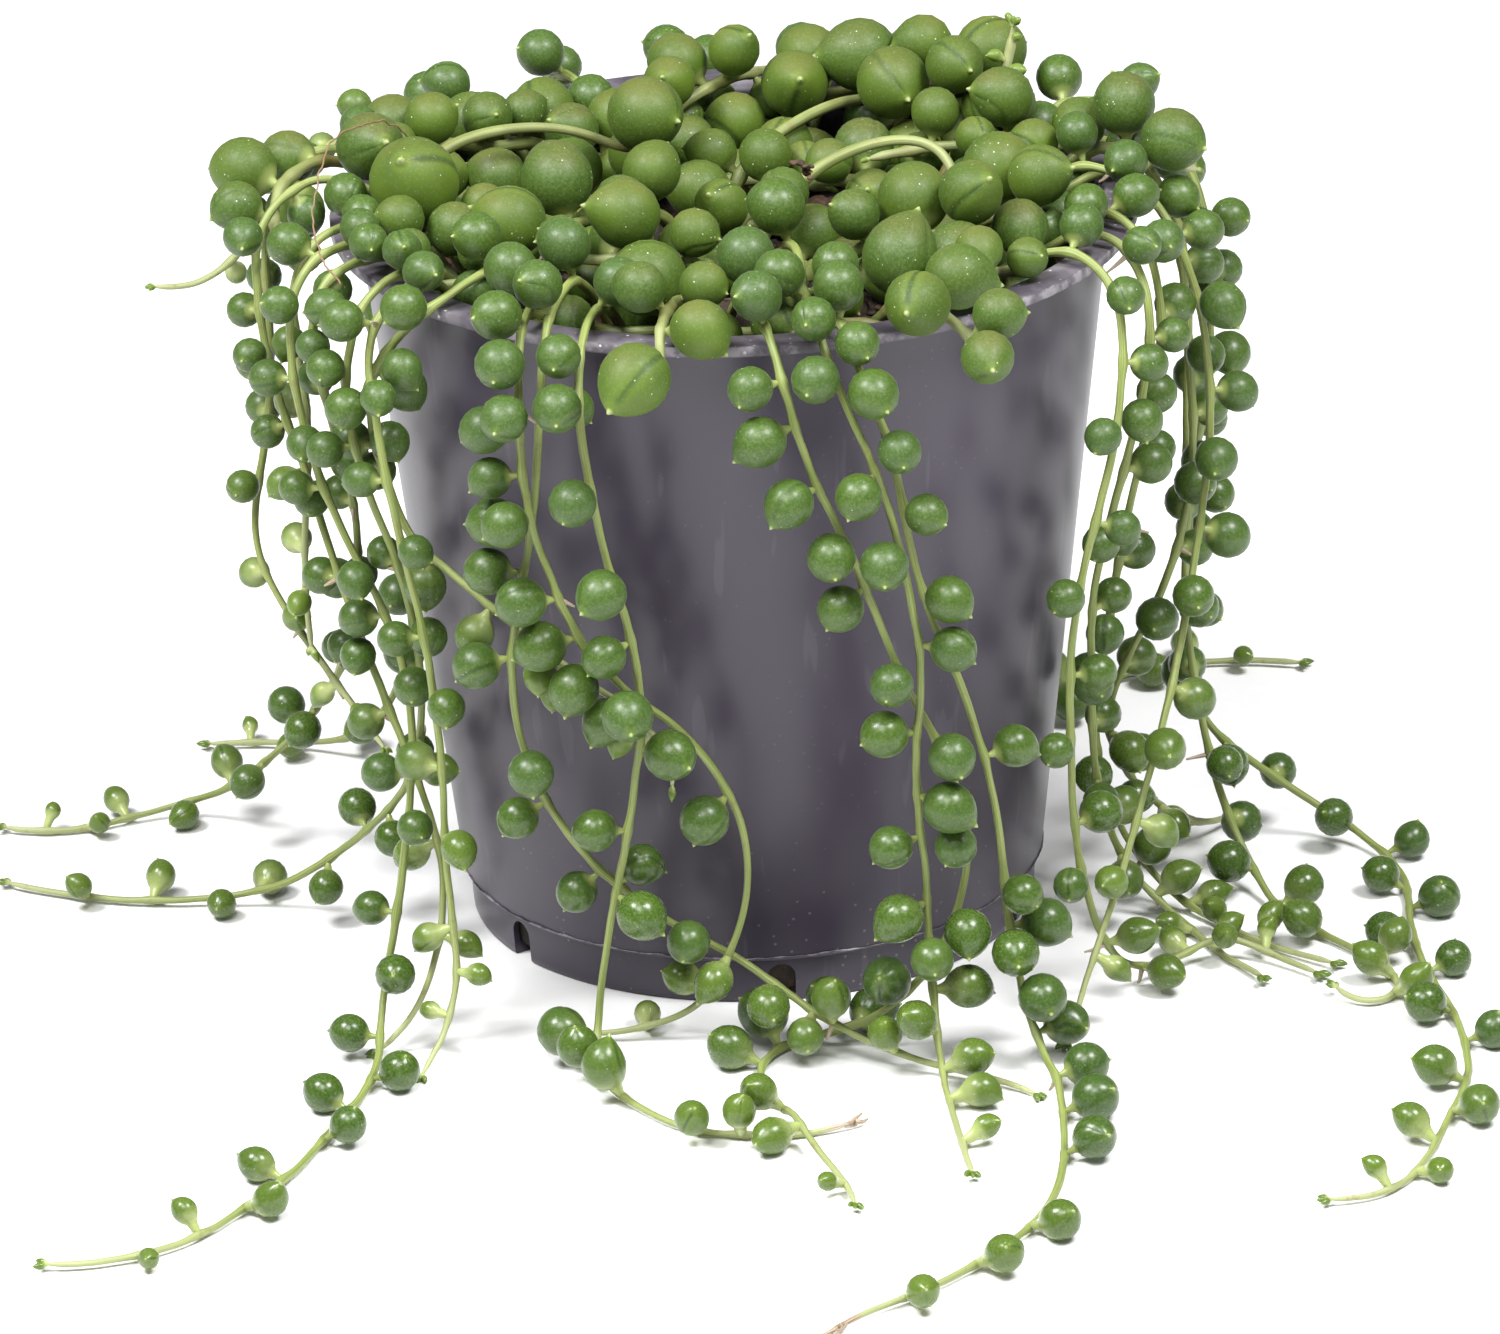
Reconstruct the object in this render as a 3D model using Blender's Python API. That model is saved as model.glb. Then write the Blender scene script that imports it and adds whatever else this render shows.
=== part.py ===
"""Potted string of pearls: a trailing succulent in a round 12 cm nursery pot.

The pot stands on its foot at z = 0 with its axis on Z, and the front of the plant faces -Y. Stems hang over
the rim on all sides and their ends lie on the surface that the pot stands on. Lengths below are millimetres,
and become metres where a mesh is made.
"""

import math

import bmesh
import bpy
import numpy as np

MM = 0.001

# Pot, turned round Z
RIM_R = 60.0
RIM_TOP = 110.8
RIM_THICK = 0.9
LIP_DROP = 0.8
LIP_THICK = 0.8
WALL_TOP_R = 55.8
LEDGE_R = 44.0
LEDGE_Z = 7.65
FOOT_TOP_R = 43.0
FOOT_R = 42.6
FOOT_TOP_Z = 6.9
WALL = 0.9
FLOOR_THICK = 1.4
EDGE_BREAK = 0.3
POT_SEGMENTS = 40
SLOT_COUNT = 6
SLOT_WIDTH = 4.2
SLOT_TOP = 6.2
SLOT_REACH = 6.0
FIRST_SLOT = math.radians(-85.0)

# Potting mix, a plug that fills the pot and is domed on top
SOIL_EDGE_Z = 97.0
SOIL_DOME = 4.0
SOIL_GAP = 0.35
SOIL_SEGMENTS = 24

# Stems and leaves
STEM_R = 0.9
STEM_STEP = 3.5
STEM_SIDES = 3
STEM_BEND_ERROR = 0.25
PETIOLE = 1.0
PETIOLE_WIDTH = 1.5
LEAF_RING_RISE = 0.43
STALK_BALLS = ((1.2, 1.0), (2.0, 1.3), (2.8, 1.7))
CLEARANCE = 0.6
LEAST_GAP = 0.35
SURFACE_GAP = 0.05
TIP_ZONE = 45.0
SMALLEST_LEAF = 1.3
LEAF_SIZE = 0.91
LEAF_SPREAD = 0.1
CROWN_EVEN = 0.86
CROWN_SPREAD = 0.24
CROWN_SPACING = 7.6
TRAILING_SPACING = 11.0
LEAST_TIP = 3.0

# Settling: each round, the share of its way home that a point goes, and of its way to a smooth stem
STEM_PULL = 0.02
LEAF_PULL = 0.004
ROOT_PULL = 0.2
SMOOTHING = 0.12
STEM_MARGIN = 0.6

# Colours, linear RGB
POT_GREY = (0.085, 0.075, 0.1)
SOIL_BROWN = (0.03, 0.018, 0.01)
LEAF_GREEN = (0.09, 0.24, 0.07)

# Each stem starts in the soil and its points run to its tip. For each point of a stem whose leaves are set one
# by one, a letter says which way the leaf there grows: l left, r right, f forward, u up, or . for no leaf.
# first and last are the leaf radii at the rim and near the tip.
TRAILING = [
    # Front, right of the middle
    dict(first=3.7, last=2.3, leaves=".lfffffff...r.frffrrrr.r.r.r...", route=[
        (10, -30, 101), (11, -42, 114), (12, -50, 116), (14, -57, 114), (16, -62, 112), (18, -65, 106),
        (22, -65, 97), (23, -64, 86), (25, -64, 74), (28, -64, 66), (31, -64, 60), (33, -63, 52), (35, -62, 46),
        (36, -62, 37), (37, -61, 27), (37, -62, 21), (38, -62, 17), (39, -65, 10), (41, -66, 4), (43, -75, 2),
        (44, -86, 1.6), (44, -100, 1.6), (42, -115, 1.6), (39, -124, 1.6), (34, -131, 1.6), (30, -136, 1.6),
        (25, -142, 1.6), (20, -146, 1.6), (15, -148, 1.5), (12, -150, 1.5), (10, -154, 1.5)]),
    dict(first=3.8, last=2.0, leaves=".ufrl..l.l.r.lrl.lfrfrrr.", route=[
        (4, -16, 101), (8, -30, 117), (10, -52, 116), (11, -61, 113), (13, -65, 109), (16, -67, 101),
        (18, -67, 97), (20, -67, 93), (22, -67, 86), (23, -67, 80), (24, -67, 74), (26, -67, 68), (25, -67, 60),
        (24, -66, 53), (24, -66, 44), (24, -65, 37), (25, -65, 32), (25, -65, 27), (25, -66, 18), (26, -66, 10),
        (26, -69, 6), (27, -75, 1.8), (28, -83, 1.6), (29, -94, 1.6), (30, -106, 1.5)]),
    dict(first=3.8, last=2.1, leaves=".ff.ll.l.fl.f.l.l..f.l.lu.fl.fl.l..", route=[
        (-2, -30, 101), (1, -46, 115), (4, -58, 114), (5, -64, 112), (6, -67, 107), (7, -67, 101), (8, -67, 97),
        (10, -67, 91), (13, -66, 86), (15, -66, 81), (17, -66, 75), (20, -66, 67), (22, -66, 61), (25, -65, 54),
        (28, -64, 50), (30, -64, 43), (32, -63, 37), (32, -62, 31), (31, -61, 24), (30, -61, 20), (27, -62, 14),
        (23, -62, 10), (19, -61, 6), (15, -59, 3), (10, -57, 1.7), (5, -57, 1.6), (1, -60, 1.6), (-1, -67, 1.6),
        (0, -76, 1.6), (2, -86, 1.6), (5, -93, 1.6), (10, -103, 1.6), (12, -108, 1.5), (14, -112, 1.5),
        (13, -115, 1.5)]),
    # Front, left of the middle
    dict(first=3.7, last=1.9, leaves=".uf.r..ll.l..rl.lr.f.fuu.u....", route=[
        (-18, -26, 101), (-23, -38, 115), (-28, -52, 114), (-29, -57, 112), (-28, -61, 106), (-29, -60, 95),
        (-30, -60, 89), (-31, -60, 83), (-32, -60, 78), (-34, -59, 69), (-34, -59, 62), (-35, -59, 56),
        (-34, -58, 50), (-33, -58, 46), (-30, -58, 38), (-27, -58, 33), (-24, -57, 29), (-20, -57, 26),
        (-16, -58, 22), (-8, -58, 17), (-2, -59, 13), (3, -60, 10), (7, -62, 7), (11, -64, 5), (15, -66, 4),
        (20, -68, 2.5), (25, -70, 1.8), (29, -71, 1.6), (35, -74, 1.5), (42, -78, 1.5)]),
    dict(first=3.7, last=1.6, leaves=".lfffllf.llll....l....ll..l...", route=[
        (-24, -26, 101), (-28, -44, 115), (-31, -55, 113), (-32, -62, 110), (-32, -63, 104), (-32, -63, 99),
        (-33, -63, 94), (-31, -64, 88), (-31, -64, 83), (-28, -64, 74), (-26, -63, 68), (-23, -63, 63),
        (-17, -62, 57), (-14, -62, 54), (-9, -61, 52), (-7, -61, 50), (-5, -61, 46), (-3, -61, 42), (0, -60, 35),
        (0, -60, 29), (0, -60, 25), (-1, -60, 21), (-3, -59, 16), (-6, -58, 9), (-8, -56, 5), (-12, -54, 1.8),
        (-17, -54, 1.6), (-21, -56, 1.6), (-25, -56, 1.5), (-29, -54, 1.5)]),
    dict(first=3.8, last=2.2, leaves=".rff.f.f.l.lr.l.r..fu.u.u.u...", route=[
        (-16, -28, 101), (-20, -48, 114), (-23, -60, 112), (-24, -65, 106), (-23, -66, 98), (-22, -66, 93),
        (-21, -66, 85), (-20, -66, 79), (-18, -66, 74), (-16, -65, 67), (-16, -64, 60), (-16, -64, 56),
        (-16, -63, 50), (-17, -63, 44), (-18, -62, 38), (-19, -62, 31), (-20, -62, 27), (-22, -62, 16),
        (-24, -62, 9), (-25, -63, 4), (-25, -69, 1.8), (-23, -74, 1.6), (-20, -77, 1.6), (-15, -85, 1.6),
        (-11, -90, 1.6), (-6, -91, 1.6), (-2, -91, 1.6), (5, -91, 1.6), (10, -91, 1.5), (13, -88, 1.5)]),
    dict(first=3.5, last=1.7, leaves=".ff.rrrrllfff..lfl..ll...", route=[
        (-30, -20, 101), (-36, -34, 114), (-44, -45, 112), (-49, -44, 109), (-52, -42, 105), (-54, -41, 102),
        (-56, -40, 98), (-56, -41, 93), (-55, -41, 88), (-54, -42, 85), (-51, -43, 81), (-49, -45, 78),
        (-46, -46, 74), (-43, -48, 72), (-39, -51, 69), (-36, -53, 68), (-31, -56, 63), (-27, -59, 61),
        (-23, -61, 57), (-19, -61, 56), (-15, -62, 54), (-12, -62, 51), (-10, -62, 50), (-8, -62, 48),
        (-11, -62, 46)]),
    # Left side
    dict(first=3.1, last=1.6, route=[
        (-40, 2, 101), (-48, 0, 112), (-57, -2, 118), (-64, -5, 119), (-69, -9, 116), (-71, -12, 110),
        (-71, -14, 103), (-70, -16, 92), (-66, -19, 84), (-63, -23, 73), (-59, -28, 60), (-53, -35, 45),
        (-48, -41, 35), (-45, -47, 24), (-45, -51, 17), (-47, -55, 11), (-51, -58, 4), (-56, -58, 1.6)]),
    dict(first=3.1, last=1.6, route=[
        (-40, -12, 101), (-48, -15, 112), (-56, -20, 115), (-62, -25, 115), (-66, -28, 110), (-66, -29, 101),
        (-65, -30, 92), (-62, -32, 80), (-57, -35, 69), (-52, -38, 61), (-49, -41, 52), (-50, -46, 36),
        (-53, -50, 18), (-55, -52, 8), (-55, -56, 2.5), (-55, -64, 1.6), (-58, -75, 1.6), (-62, -84, 1.6),
        (-65, -95, 1.6), (-71, -106, 1.6), (-79, -119, 1.6), (-87, -126, 1.6), (-94, -128, 1.5),
        (-101, -127, 1.5)]),
    dict(first=3.1, last=2.0, route=[
        (-42, 18, 101), (-52, 19, 114), (-62, 17, 117), (-69, 13, 113), (-71, 10, 103), (-70, 8, 93),
        (-70, 6, 81), (-72, 4, 70), (-75, 2, 61), (-74, 0, 55), (-69, -4, 49), (-64, -8, 42), (-58, -15, 36),
        (-54, -20, 33)]),
    dict(first=3.1, last=1.8, route=[
        (-38, -19, 101), (-46, -22, 112), (-55, -28, 115), (-61, -32, 113), (-63, -34, 108), (-62, -33, 101),
        (-60, -29, 90), (-58, -24, 79), (-57, -19, 68), (-58, -12, 54), (-59, -4, 44), (-63, 5, 33),
        (-70, 16, 20), (-78, 26, 9), (-86, 34, 2), (-93, 33, 1.6), (-99, 29, 1.6), (-106, 25, 1.5),
        (-112, 26, 1.5), (-115, 28, 1.5)]),
    dict(first=3.1, last=1.9, route=[
        (-37, -22, 101), (-45, -28, 112), (-53, -34, 114), (-57, -38, 109), (-57, -41, 100), (-54, -43, 88),
        (-51, -43, 75), (-49, -39, 64), (-48, -33, 47), (-50, -22, 29), (-55, -15, 20), (-61, -10, 13),
        (-67, -5, 6), (-73, -2, 2), (-80, -2, 1.6), (-88, -2, 1.6), (-96, -1, 1.6), (-102, 0, 1.5),
        (-108, 4, 1.5), (-114, 7, 1.5)]),
    dict(first=3.1, last=1.7, route=[
        (-34, -26, 101), (-43, -33, 112), (-51, -40, 113), (-54, -44, 108), (-54, -47, 98), (-51, -50, 85),
        (-48, -51, 70), (-46, -52, 58), (-45, -52, 45), (-45, -53, 34), (-45, -54, 23), (-43, -57, 14),
        (-44, -60, 7), (-47, -62, 2), (-49, -66, 1.5)]),
    dict(first=3.1, last=2.3, route=[
        (-44, -4, 101), (-52, -8, 112), (-59, -14, 115), (-64, -19, 113), (-66, -20, 106), (-65, -19, 97),
        (-64, -17, 84), (-65, -15, 70), (-66, -13, 56), (-65, -12, 46)]),
    dict(first=2.9, last=1.5, route=[
        (-38, 26, 101), (-47, 28, 113), (-58, 29, 115), (-68, 26, 106), (-72, 23, 99), (-77, 21, 93),
        (-82, 20, 91), (-87, 19, 93)]),
    # Right side
    dict(first=3.5, last=1.9, route=[
        (36, 6, 101), (44, 4, 113), (53, 1, 117), (60, -4, 115), (65, -10, 110), (68, -13, 102), (70, -15, 90),
        (70, -17, 78), (68, -21, 66), (65, -28, 53), (62, -36, 42), (58, -43, 32), (54, -50, 21), (50, -55, 12),
        (47, -59, 5), (45, -63, 1.6)]),
    dict(first=3.2, last=1.9, route=[
        (38, -6, 101), (48, -9, 112), (57, -16, 114), (62, -21, 109), (63, -23, 101), (62, -23, 92),
        (60, -22, 80), (57, -20, 68), (55, -17, 55), (53, -14, 41), (51, -11, 29), (53, -9, 19), (57, -8, 9),
        (61, -9, 2.5), (67, -16, 1.6), (74, -27, 1.6), (80, -33, 1.6), (86, -37, 1.5)]),
    dict(first=3.3, last=2.6, route=[
        (40, 18, 101), (49, 19, 112), (57, 17, 114), (64, 13, 109), (68, 10, 100), (68, 8, 88), (67, 6, 75),
        (67, 5, 59), (66, 3, 42), (68, 2, 28), (70, 1, 17), (73, -1, 7), (76, -8, 2), (80, -20, 1.6),
        (86, -28, 1.6), (92, -34, 1.6), (96, -42, 1.6), (95, -51, 1.6), (90, -54, 1.6), (87, -49, 1.6)]),
    dict(first=3.3, last=2.1, route=[
        (42, 6, 101), (50, 7, 112), (58, 5, 115), (64, 1, 110), (67, -3, 101), (67, -5, 90), (68, -6, 76),
        (67, -7, 63), (63, -9, 50), (58, -9, 42), (54, -8, 34), (53, -5, 26), (57, -1, 17), (62, 4, 9),
        (67, 9, 3), (72, 15, 1.6), (76, 21, 1.5)]),
    dict(first=3.3, last=2.1, route=[
        (36, 28, 101), (45, 32, 113), (54, 32, 116), (62, 29, 114), (69, 25, 107), (72, 22, 98), (72, 19, 84),
        (70, 18, 69), (68, 16, 53), (67, 14, 40), (66, 11, 28), (68, 10, 20), (75, 12, 14), (83, 13, 8),
        (90, 12, 3), (96, 6, 1.6), (99, -4, 1.6), (99, -14, 1.6), (98, -24, 1.6), (98, -34, 2.5),
        (100, -44, 1.8), (103, -58, 1.6), (104, -72, 1.6), (102, -84, 1.6), (98, -95, 1.6), (95, -107, 1.6),
        (91, -116, 1.5), (86, -119, 1.5), (81, -118, 1.5)]),
    dict(first=3.2, last=1.9, route=[
        (35, -14, 101), (46, -19, 112), (56, -24, 113), (61, -28, 108), (61, -31, 99), (58, -34, 86),
        (54, -33, 72), (51, -31, 60), (51, -28, 46), (51, -25, 33), (52, -21, 21), (55, -16, 11), (58, -13, 4),
        (62, -15, 1.6), (66, -23, 1.6), (70, -33, 1.5), (75, -41, 1.5)]),
    dict(first=3.2, last=1.9, route=[
        (32, -21, 101), (43, -27, 112), (53, -33, 113), (57, -37, 107), (56, -41, 97), (53, -46, 82),
        (48, -48, 66), (47, -47, 50), (47, -46, 35), (48, -47, 21), (51, -47, 10), (55, -44, 3), (60, -38, 1.6),
        (66, -32, 1.6), (72, -30, 1.5), (78, -33, 1.5), (83, -40, 1.5)]),
    # Back
    dict(first=3.8, last=1.9, route=[
        (22, 36, 101), (29, 46, 113), (35, 53, 114), (38, 58, 107), (39, 60, 94), (38, 60, 78), (37, 59, 60),
        (38, 57, 42), (41, 56, 26), (44, 58, 12), (47, 62, 3), (53, 70, 1.6), (60, 77, 1.6), (69, 81, 1.6),
        (79, 82, 1.6), (88, 79, 1.5)]),
    dict(first=3.8, last=2.0, route=[
        (10, 38, 101), (14, 49, 113), (17, 59, 114), (18, 65, 108), (18, 67, 96), (16, 67, 80), (13, 66, 64),
        (11, 65, 47), (12, 64, 30), (15, 64, 16), (18, 67, 5), (20, 74, 1.6), (19, 84, 1.6), (14, 92, 1.6),
        (6, 97, 1.5)]),
    dict(first=3.6, last=1.8, route=[
        (-2, 40, 101), (-5, 51, 113), (-7, 60, 113), (-8, 66, 107), (-8, 67, 95), (-6, 67, 80), (-4, 66, 63),
        (-5, 65, 47), (-8, 64, 32), (-10, 64, 20), (-11, 65, 11)]),
    dict(first=3.7, last=1.9, route=[
        (-16, 38, 101), (-22, 47, 113), (-27, 56, 114), (-30, 61, 108), (-31, 62, 97), (-30, 62, 82),
        (-28, 61, 66), (-28, 59, 48), (-31, 57, 31), (-34, 58, 16), (-37, 62, 5), (-41, 70, 1.6), (-44, 80, 1.6),
        (-43, 91, 1.6), (-37, 99, 1.5)]),
    dict(first=3.6, last=1.9, route=[
        (-28, 30, 101), (-38, 37, 113), (-46, 44, 114), (-50, 48, 107), (-51, 49, 95), (-50, 49, 79),
        (-48, 47, 61), (-48, 45, 43), (-51, 44, 27), (-55, 46, 13), (-60, 51, 4), (-67, 57, 1.6), (-76, 60, 1.6),
        (-85, 59, 1.5)]),
]

# Short stems that heap up over the soil, inside the rim
CROWN = [
    # Low, round the inside of the rim and over the middle
    dict(first=4.8, last=4.2, route=[
        (-38, -18, 100), (-32, -33, 106), (-14, -43, 107), (8, -46, 107), (26, -41, 107), (38, -30, 106)]),
    dict(first=5.0, last=4.4, route=[
        (28, -10, 100), (41, -8, 107), (43, 10, 107), (38, 25, 106), (24, 39, 106)]),
    dict(first=4.8, last=4.3, route=[
        (10, 28, 100), (-8, 43, 106), (-28, 37, 106), (-42, 22, 106), (-47, 4, 106)]),
    dict(first=4.8, last=4.4, route=[
        (-14, -5, 101), (-26, 8, 106), (-18, 22, 106), (0, 26, 106), (14, 18, 106)]),
    dict(first=4.8, last=4.4, route=[
        (6, -2, 101), (15, -16, 106), (2, -26, 106), (-14, -24, 106), (-22, -12, 106)]),
    dict(first=4.4, last=4.0, route=[
        (-6, 12, 101), (4, 6, 105), (14, 4, 106), (24, -2, 106), (28, 10, 106)]),
    dict(first=4.4, last=4.0, route=[
        (-30, -2, 100), (-36, 6, 105), (-32, 20, 106), (-20, 34, 106), (-4, 34, 106)]),
    dict(first=4.6, last=4.2, route=[
        (-4, -2, 101), (2, 6, 109), (10, 12, 111), (18, 12, 111), (24, 4, 111)]),
    # Out over the rim on the left, the right and at the back
    dict(first=4.9, last=4.6, route=[
        (-42, 12, 100), (-52, 12, 113), (-60, 8, 118), (-66, 2, 118), (-70, -6, 115), (-68, -14, 111)]),
    dict(first=5.0, last=4.4, route=[
        (40, 12, 100), (50, 8, 113), (58, 4, 117), (65, 0, 115), (68, 6, 112)]),
    dict(first=5.0, last=4.8, route=[
        (-14, 30, 100), (-12, 34, 112), (-6, 32, 116), (2, 40, 117), (8, 48, 115)]),
    # High, the arching stems on top
    dict(first=6.6, last=6.8, leaves=".l....f", route=[
        (-40, -8, 100), (-49, -5, 112), (-47, 0, 119), (-41, 4, 121), (-31, 9, 121), (-22, 13, 119),
        (-15, 14, 115)]),
    dict(first=5.2, last=4.8, leaves=".l....r", route=[
        (2, -6, 101), (6, -6, 113), (14, -3, 119), (25, 0, 121), (32, 1, 120), (35, -4, 116), (34, -10, 112)]),
    dict(first=5.4, last=5.2, leaves=".l..lr", route=[
        (-2, 10, 101), (0, 14, 112), (7, 20, 115), (16, 28, 117), (24, 35, 117), (31, 36, 114)]),
    dict(first=4.8, last=4.2, route=[
        (28, 16, 101), (36, 28, 111), (45, 22, 112), (42, 8, 114), (30, 12, 115), (20, 10, 114)]),
    dict(first=5.4, last=5.0, route=[
        (0, 34, 100), (6, 36, 110), (14, 44, 113), (26, 42, 115), (36, 33, 115), (30, 24, 117)]),
    dict(first=4.6, last=4.0, route=[
        (-20, 26, 100), (-26, 33, 111), (-38, 29, 112), (-49, 18, 112), (-54, 6, 112)]),
    dict(first=4.2, last=3.6, route=[
        (-28, -8, 101), (-38, -8, 112), (-49, -16, 112), (-46, -27, 111), (-34, -32, 111)]),
    dict(first=5.2, last=4.6, route=[
        (-8, 2, 101), (-10, -6, 113), (-22, -10, 113), (-30, -20, 113), (-20, -30, 113), (-5, -32, 114)]),
    dict(first=5.4, last=4.8, route=[
        (14, -14, 101), (18, -20, 112), (28, -25, 113), (38, -20, 114), (45, -9, 113)]),
    dict(first=5.2, last=4.8, route=[
        (20, -26, 100), (26, -36, 111), (34, -40, 112), (42, -32, 111)]),
    # Over the front of the rim
    dict(first=5.4, last=5.8, leaves=".lrlrf", route=[
        (-8, -20, 100), (-6, -36, 111), (-9, -46, 114), (-10, -55, 116), (-12, -62, 115), (-12, -67, 112)]),
    dict(first=5.0, last=5.2, leaves=".lrlrf", route=[
        (21, -40, 101), (23, -44, 111), (26, -49, 115), (29, -55, 116), (32, -60, 114), (34, -63, 111)]),
]


# --- Curves ---------------------------------------------------------------------------------------------------

def smooth_curve(route, step):
    """Points every step millimetres along a Catmull-Rom curve through the route."""
    ends = np.vstack([2 * route[0] - route[1], route, 2 * route[-1] - route[-2]])
    t = np.linspace(0.0, 1.0, 24, endpoint=False)[:, None]
    spans = []
    for a, b, c, d in zip(ends[:-3], ends[1:-2], ends[2:-1], ends[3:]):
        spans.append(0.5 * (2 * b + (c - a) * t + (2 * a - 5 * b + 4 * c - d) * t**2
                            + (3 * b - a - 3 * c + d) * t**3))
    fine = np.vstack(spans + [route[-1:]])
    along = np.concatenate([[0.0], np.cumsum(np.linalg.norm(np.diff(fine, axis=0), axis=1))])
    places = np.linspace(0.0, along[-1], max(3, round(along[-1] / step) + 1))
    return np.stack([np.interp(places, along, fine[:, k]) for k in range(3)], axis=1)


def unit(v):
    return v / max(np.linalg.norm(v), 1e-9)


def few_points(path, needed, error):
    """The needed indices, and those that hold the path's shape to within error between them."""
    needed = sorted({0, len(path) - 1, *needed})
    kept, waiting = set(needed), list(zip(needed, needed[1:]))
    while waiting:
        a, b = waiting.pop()
        if b - a < 2:
            continue
        span = unit(path[b] - path[a])
        off = path[a + 1:b] - path[a]
        off = off - (off @ span)[:, None] * span
        size = np.linalg.norm(off, axis=1)
        worst = int(size.argmax())
        if size[worst] > error:
            middle = a + 1 + worst
            kept.add(middle)
            waiting += [(a, middle), (middle, b)]
    return sorted(kept)


def outward(point):
    """Away from what a stem lies on: up over the soil and the surface, away from the axis beside the pot."""
    if point[2] < 6.0 or (point[2] > 111.0 and math.hypot(point[0], point[1]) < 61.0):
        return np.array([0.0, 0.0, 1.0])
    return unit(np.array([point[0], point[1], 0.0]))


# --- Leaves ---------------------------------------------------------------------------------------------------

def leaf_direction(letter, side, out):
    """The way a leaf grows from its stem, for one of the letters above."""
    ways = {"l": side + 0.35 * out, "r": 0.35 * out - side, "f": out + 0.2 * side, "u": out + 0.3 * side}
    return unit(ways[letter])


def leaf_radius(stem, from_root, to_tip, chance):
    """Leaves are full size up to the last stretch, where they shrink to buds. chance runs from -1 to 1."""
    young = min(1.0, to_tip / TIP_ZONE)
    full = stem["first"] + (stem["last"] - stem["first"]) * (1.0 - young)
    if stem["crown"]:
        return full * (CROWN_EVEN + CROWN_SPREAD * chance)
    old = 1.0 + 0.22 * max(0.0, 1.0 - from_root / 40.0)
    bud = min(1.0, 0.45 + to_tip / 26.0)
    return max(SMALLEST_LEAF, LEAF_SIZE * full * old * bud * (1.0 + LEAF_SPREAD * chance))


def place_leaves(stem, rng):
    """The stem's leaves: for each, the index of its stem point, its radius and the way it grows."""
    path = stem["path"]
    along = np.arange(len(path)) * stem["pitch"]
    length = along[-1]
    if "leaves" in stem:
        route = np.array(stem["route"], float)
        chosen = []
        for letter, point in zip(stem["leaves"], route):
            if letter != ".":
                chosen.append((int(np.argmin(np.linalg.norm(path - point, axis=1))), letter))
    else:
        spacing = CROWN_SPACING if stem["crown"] else TRAILING_SPACING
        place, chosen, turn = spacing, [], 0
        while place < length - LEAST_TIP:
            letters = "lurf" if stem["crown"] else "lr"
            chosen.append((int(round(place / stem["pitch"])), letters[turn % len(letters)]))
            place += spacing * rng.uniform(0.8, 1.2) * (0.75 if length - place < TIP_ZONE / 2 else 1.0)
            turn += 1
    leaves = []
    for index, letter in chosen:
        index = min(max(index, 1), len(path) - 1)
        if index in [taken for taken, _, _ in leaves]:
            continue
        radius = leaf_radius(stem, along[index], length - along[index], rng.uniform(-1.0, 1.0))
        tangent = unit(path[min(index + 1, len(path) - 1)] - path[index - 1])
        out = outward(path[index])
        way = leaf_direction(letter, unit(np.cross(tangent, out)), out)
        way = unit(way + rng.normal(0.0, 0.16, 3))
        leaves.append((index, radius, way))
    return leaves


# --- Settling: leaves and stems push each other apart and off the pot, the soil and the surface -----------------

def nearest_on_segment(p, a, b):
    """The nearest point to each 2-D point p on the segment from a to b."""
    a, b = np.array(a), np.array(b)
    t = np.clip(((p - a) @ (b - a)) / ((b - a) @ (b - a)), 0.0, 1.0)
    return a + t[:, None] * (b - a)


def soil_height(radius):
    return SOIL_EDGE_Z + SOIL_DOME * np.clip(1.0 - (radius / 55.0) ** 2, 0.0, 1.0)


def pot_lines():
    """The middle of the pot's wall, and of its rim, as 2-D lines of radius and height."""
    half = 0.5 * WALL
    top = (WALL_TOP_R - half, RIM_TOP - half)
    return ((LEDGE_R - half, 0.0), top), (top, (RIM_R - half, RIM_TOP - half))


def keep_off_pot(points, radii, margin):
    """Moves the points, in place, off the pot's wall and rim, above the soil and above the surface."""
    flat = np.hypot(points[:, 0], points[:, 1])
    place = np.stack([flat, points[:, 2]], axis=1)
    for a, b in pot_lines():
        away = place - nearest_on_segment(place, a, b)
        gap = np.linalg.norm(away, axis=1)
        short = np.maximum(radii + margin + 0.5 * WALL + CLEARANCE - gap, 0.0)
        place += away / np.maximum(gap, 1e-6)[:, None] * short[:, None]
    scale = place[:, 0] / np.maximum(flat, 1e-6)
    points[:, 0] *= scale
    points[:, 1] *= scale
    inside = (place[:, 0] < WALL_TOP_R) & (place[:, 1] > 80.0)
    lowest = np.where(inside, soil_height(place[:, 0]) + radii + LEAST_GAP, radii + SURFACE_GAP)
    points[:, 2] = np.maximum(place[:, 1], lowest)


def near_pairs(points, radii, owner, index, reach):
    """Pairs of balls closer than reach, apart from neighbours along one stem."""
    first, second = [], []
    order = np.argsort(points[:, 0], kind="stable")
    x = points[order, 0]
    widest = radii.max()
    for rank, i in enumerate(order):
        end = np.searchsorted(x, x[rank] + radii[i] + widest + reach)
        others = order[rank + 1:end]
        gap = np.linalg.norm(points[others] - points[i], axis=1) - radii[others] - radii[i]
        others = others[gap < reach]
        along = (owner[others] == owner[i]) & (index[others] >= 0) & (index[i] >= 0)
        others = others[~(along & (np.abs(index[others] - index[i]) <= 3))]
        first.append(np.full(len(others), i))
        second.append(others)
    return np.concatenate(first), np.concatenate(second)


def seat_roots(points, roots):
    """Slides the stems' first points, in place, up or down until their lower ends lie on the soil."""
    lean = points[roots + 1] - points[roots]
    steepness = lean[:, 2] / np.linalg.norm(lean, axis=1)
    soil = soil_height(np.hypot(points[roots, 0], points[roots, 1]))
    points[roots, 2] = soil + LEAST_GAP + STEM_R * np.sqrt(1.0 - steepness**2)


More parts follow.
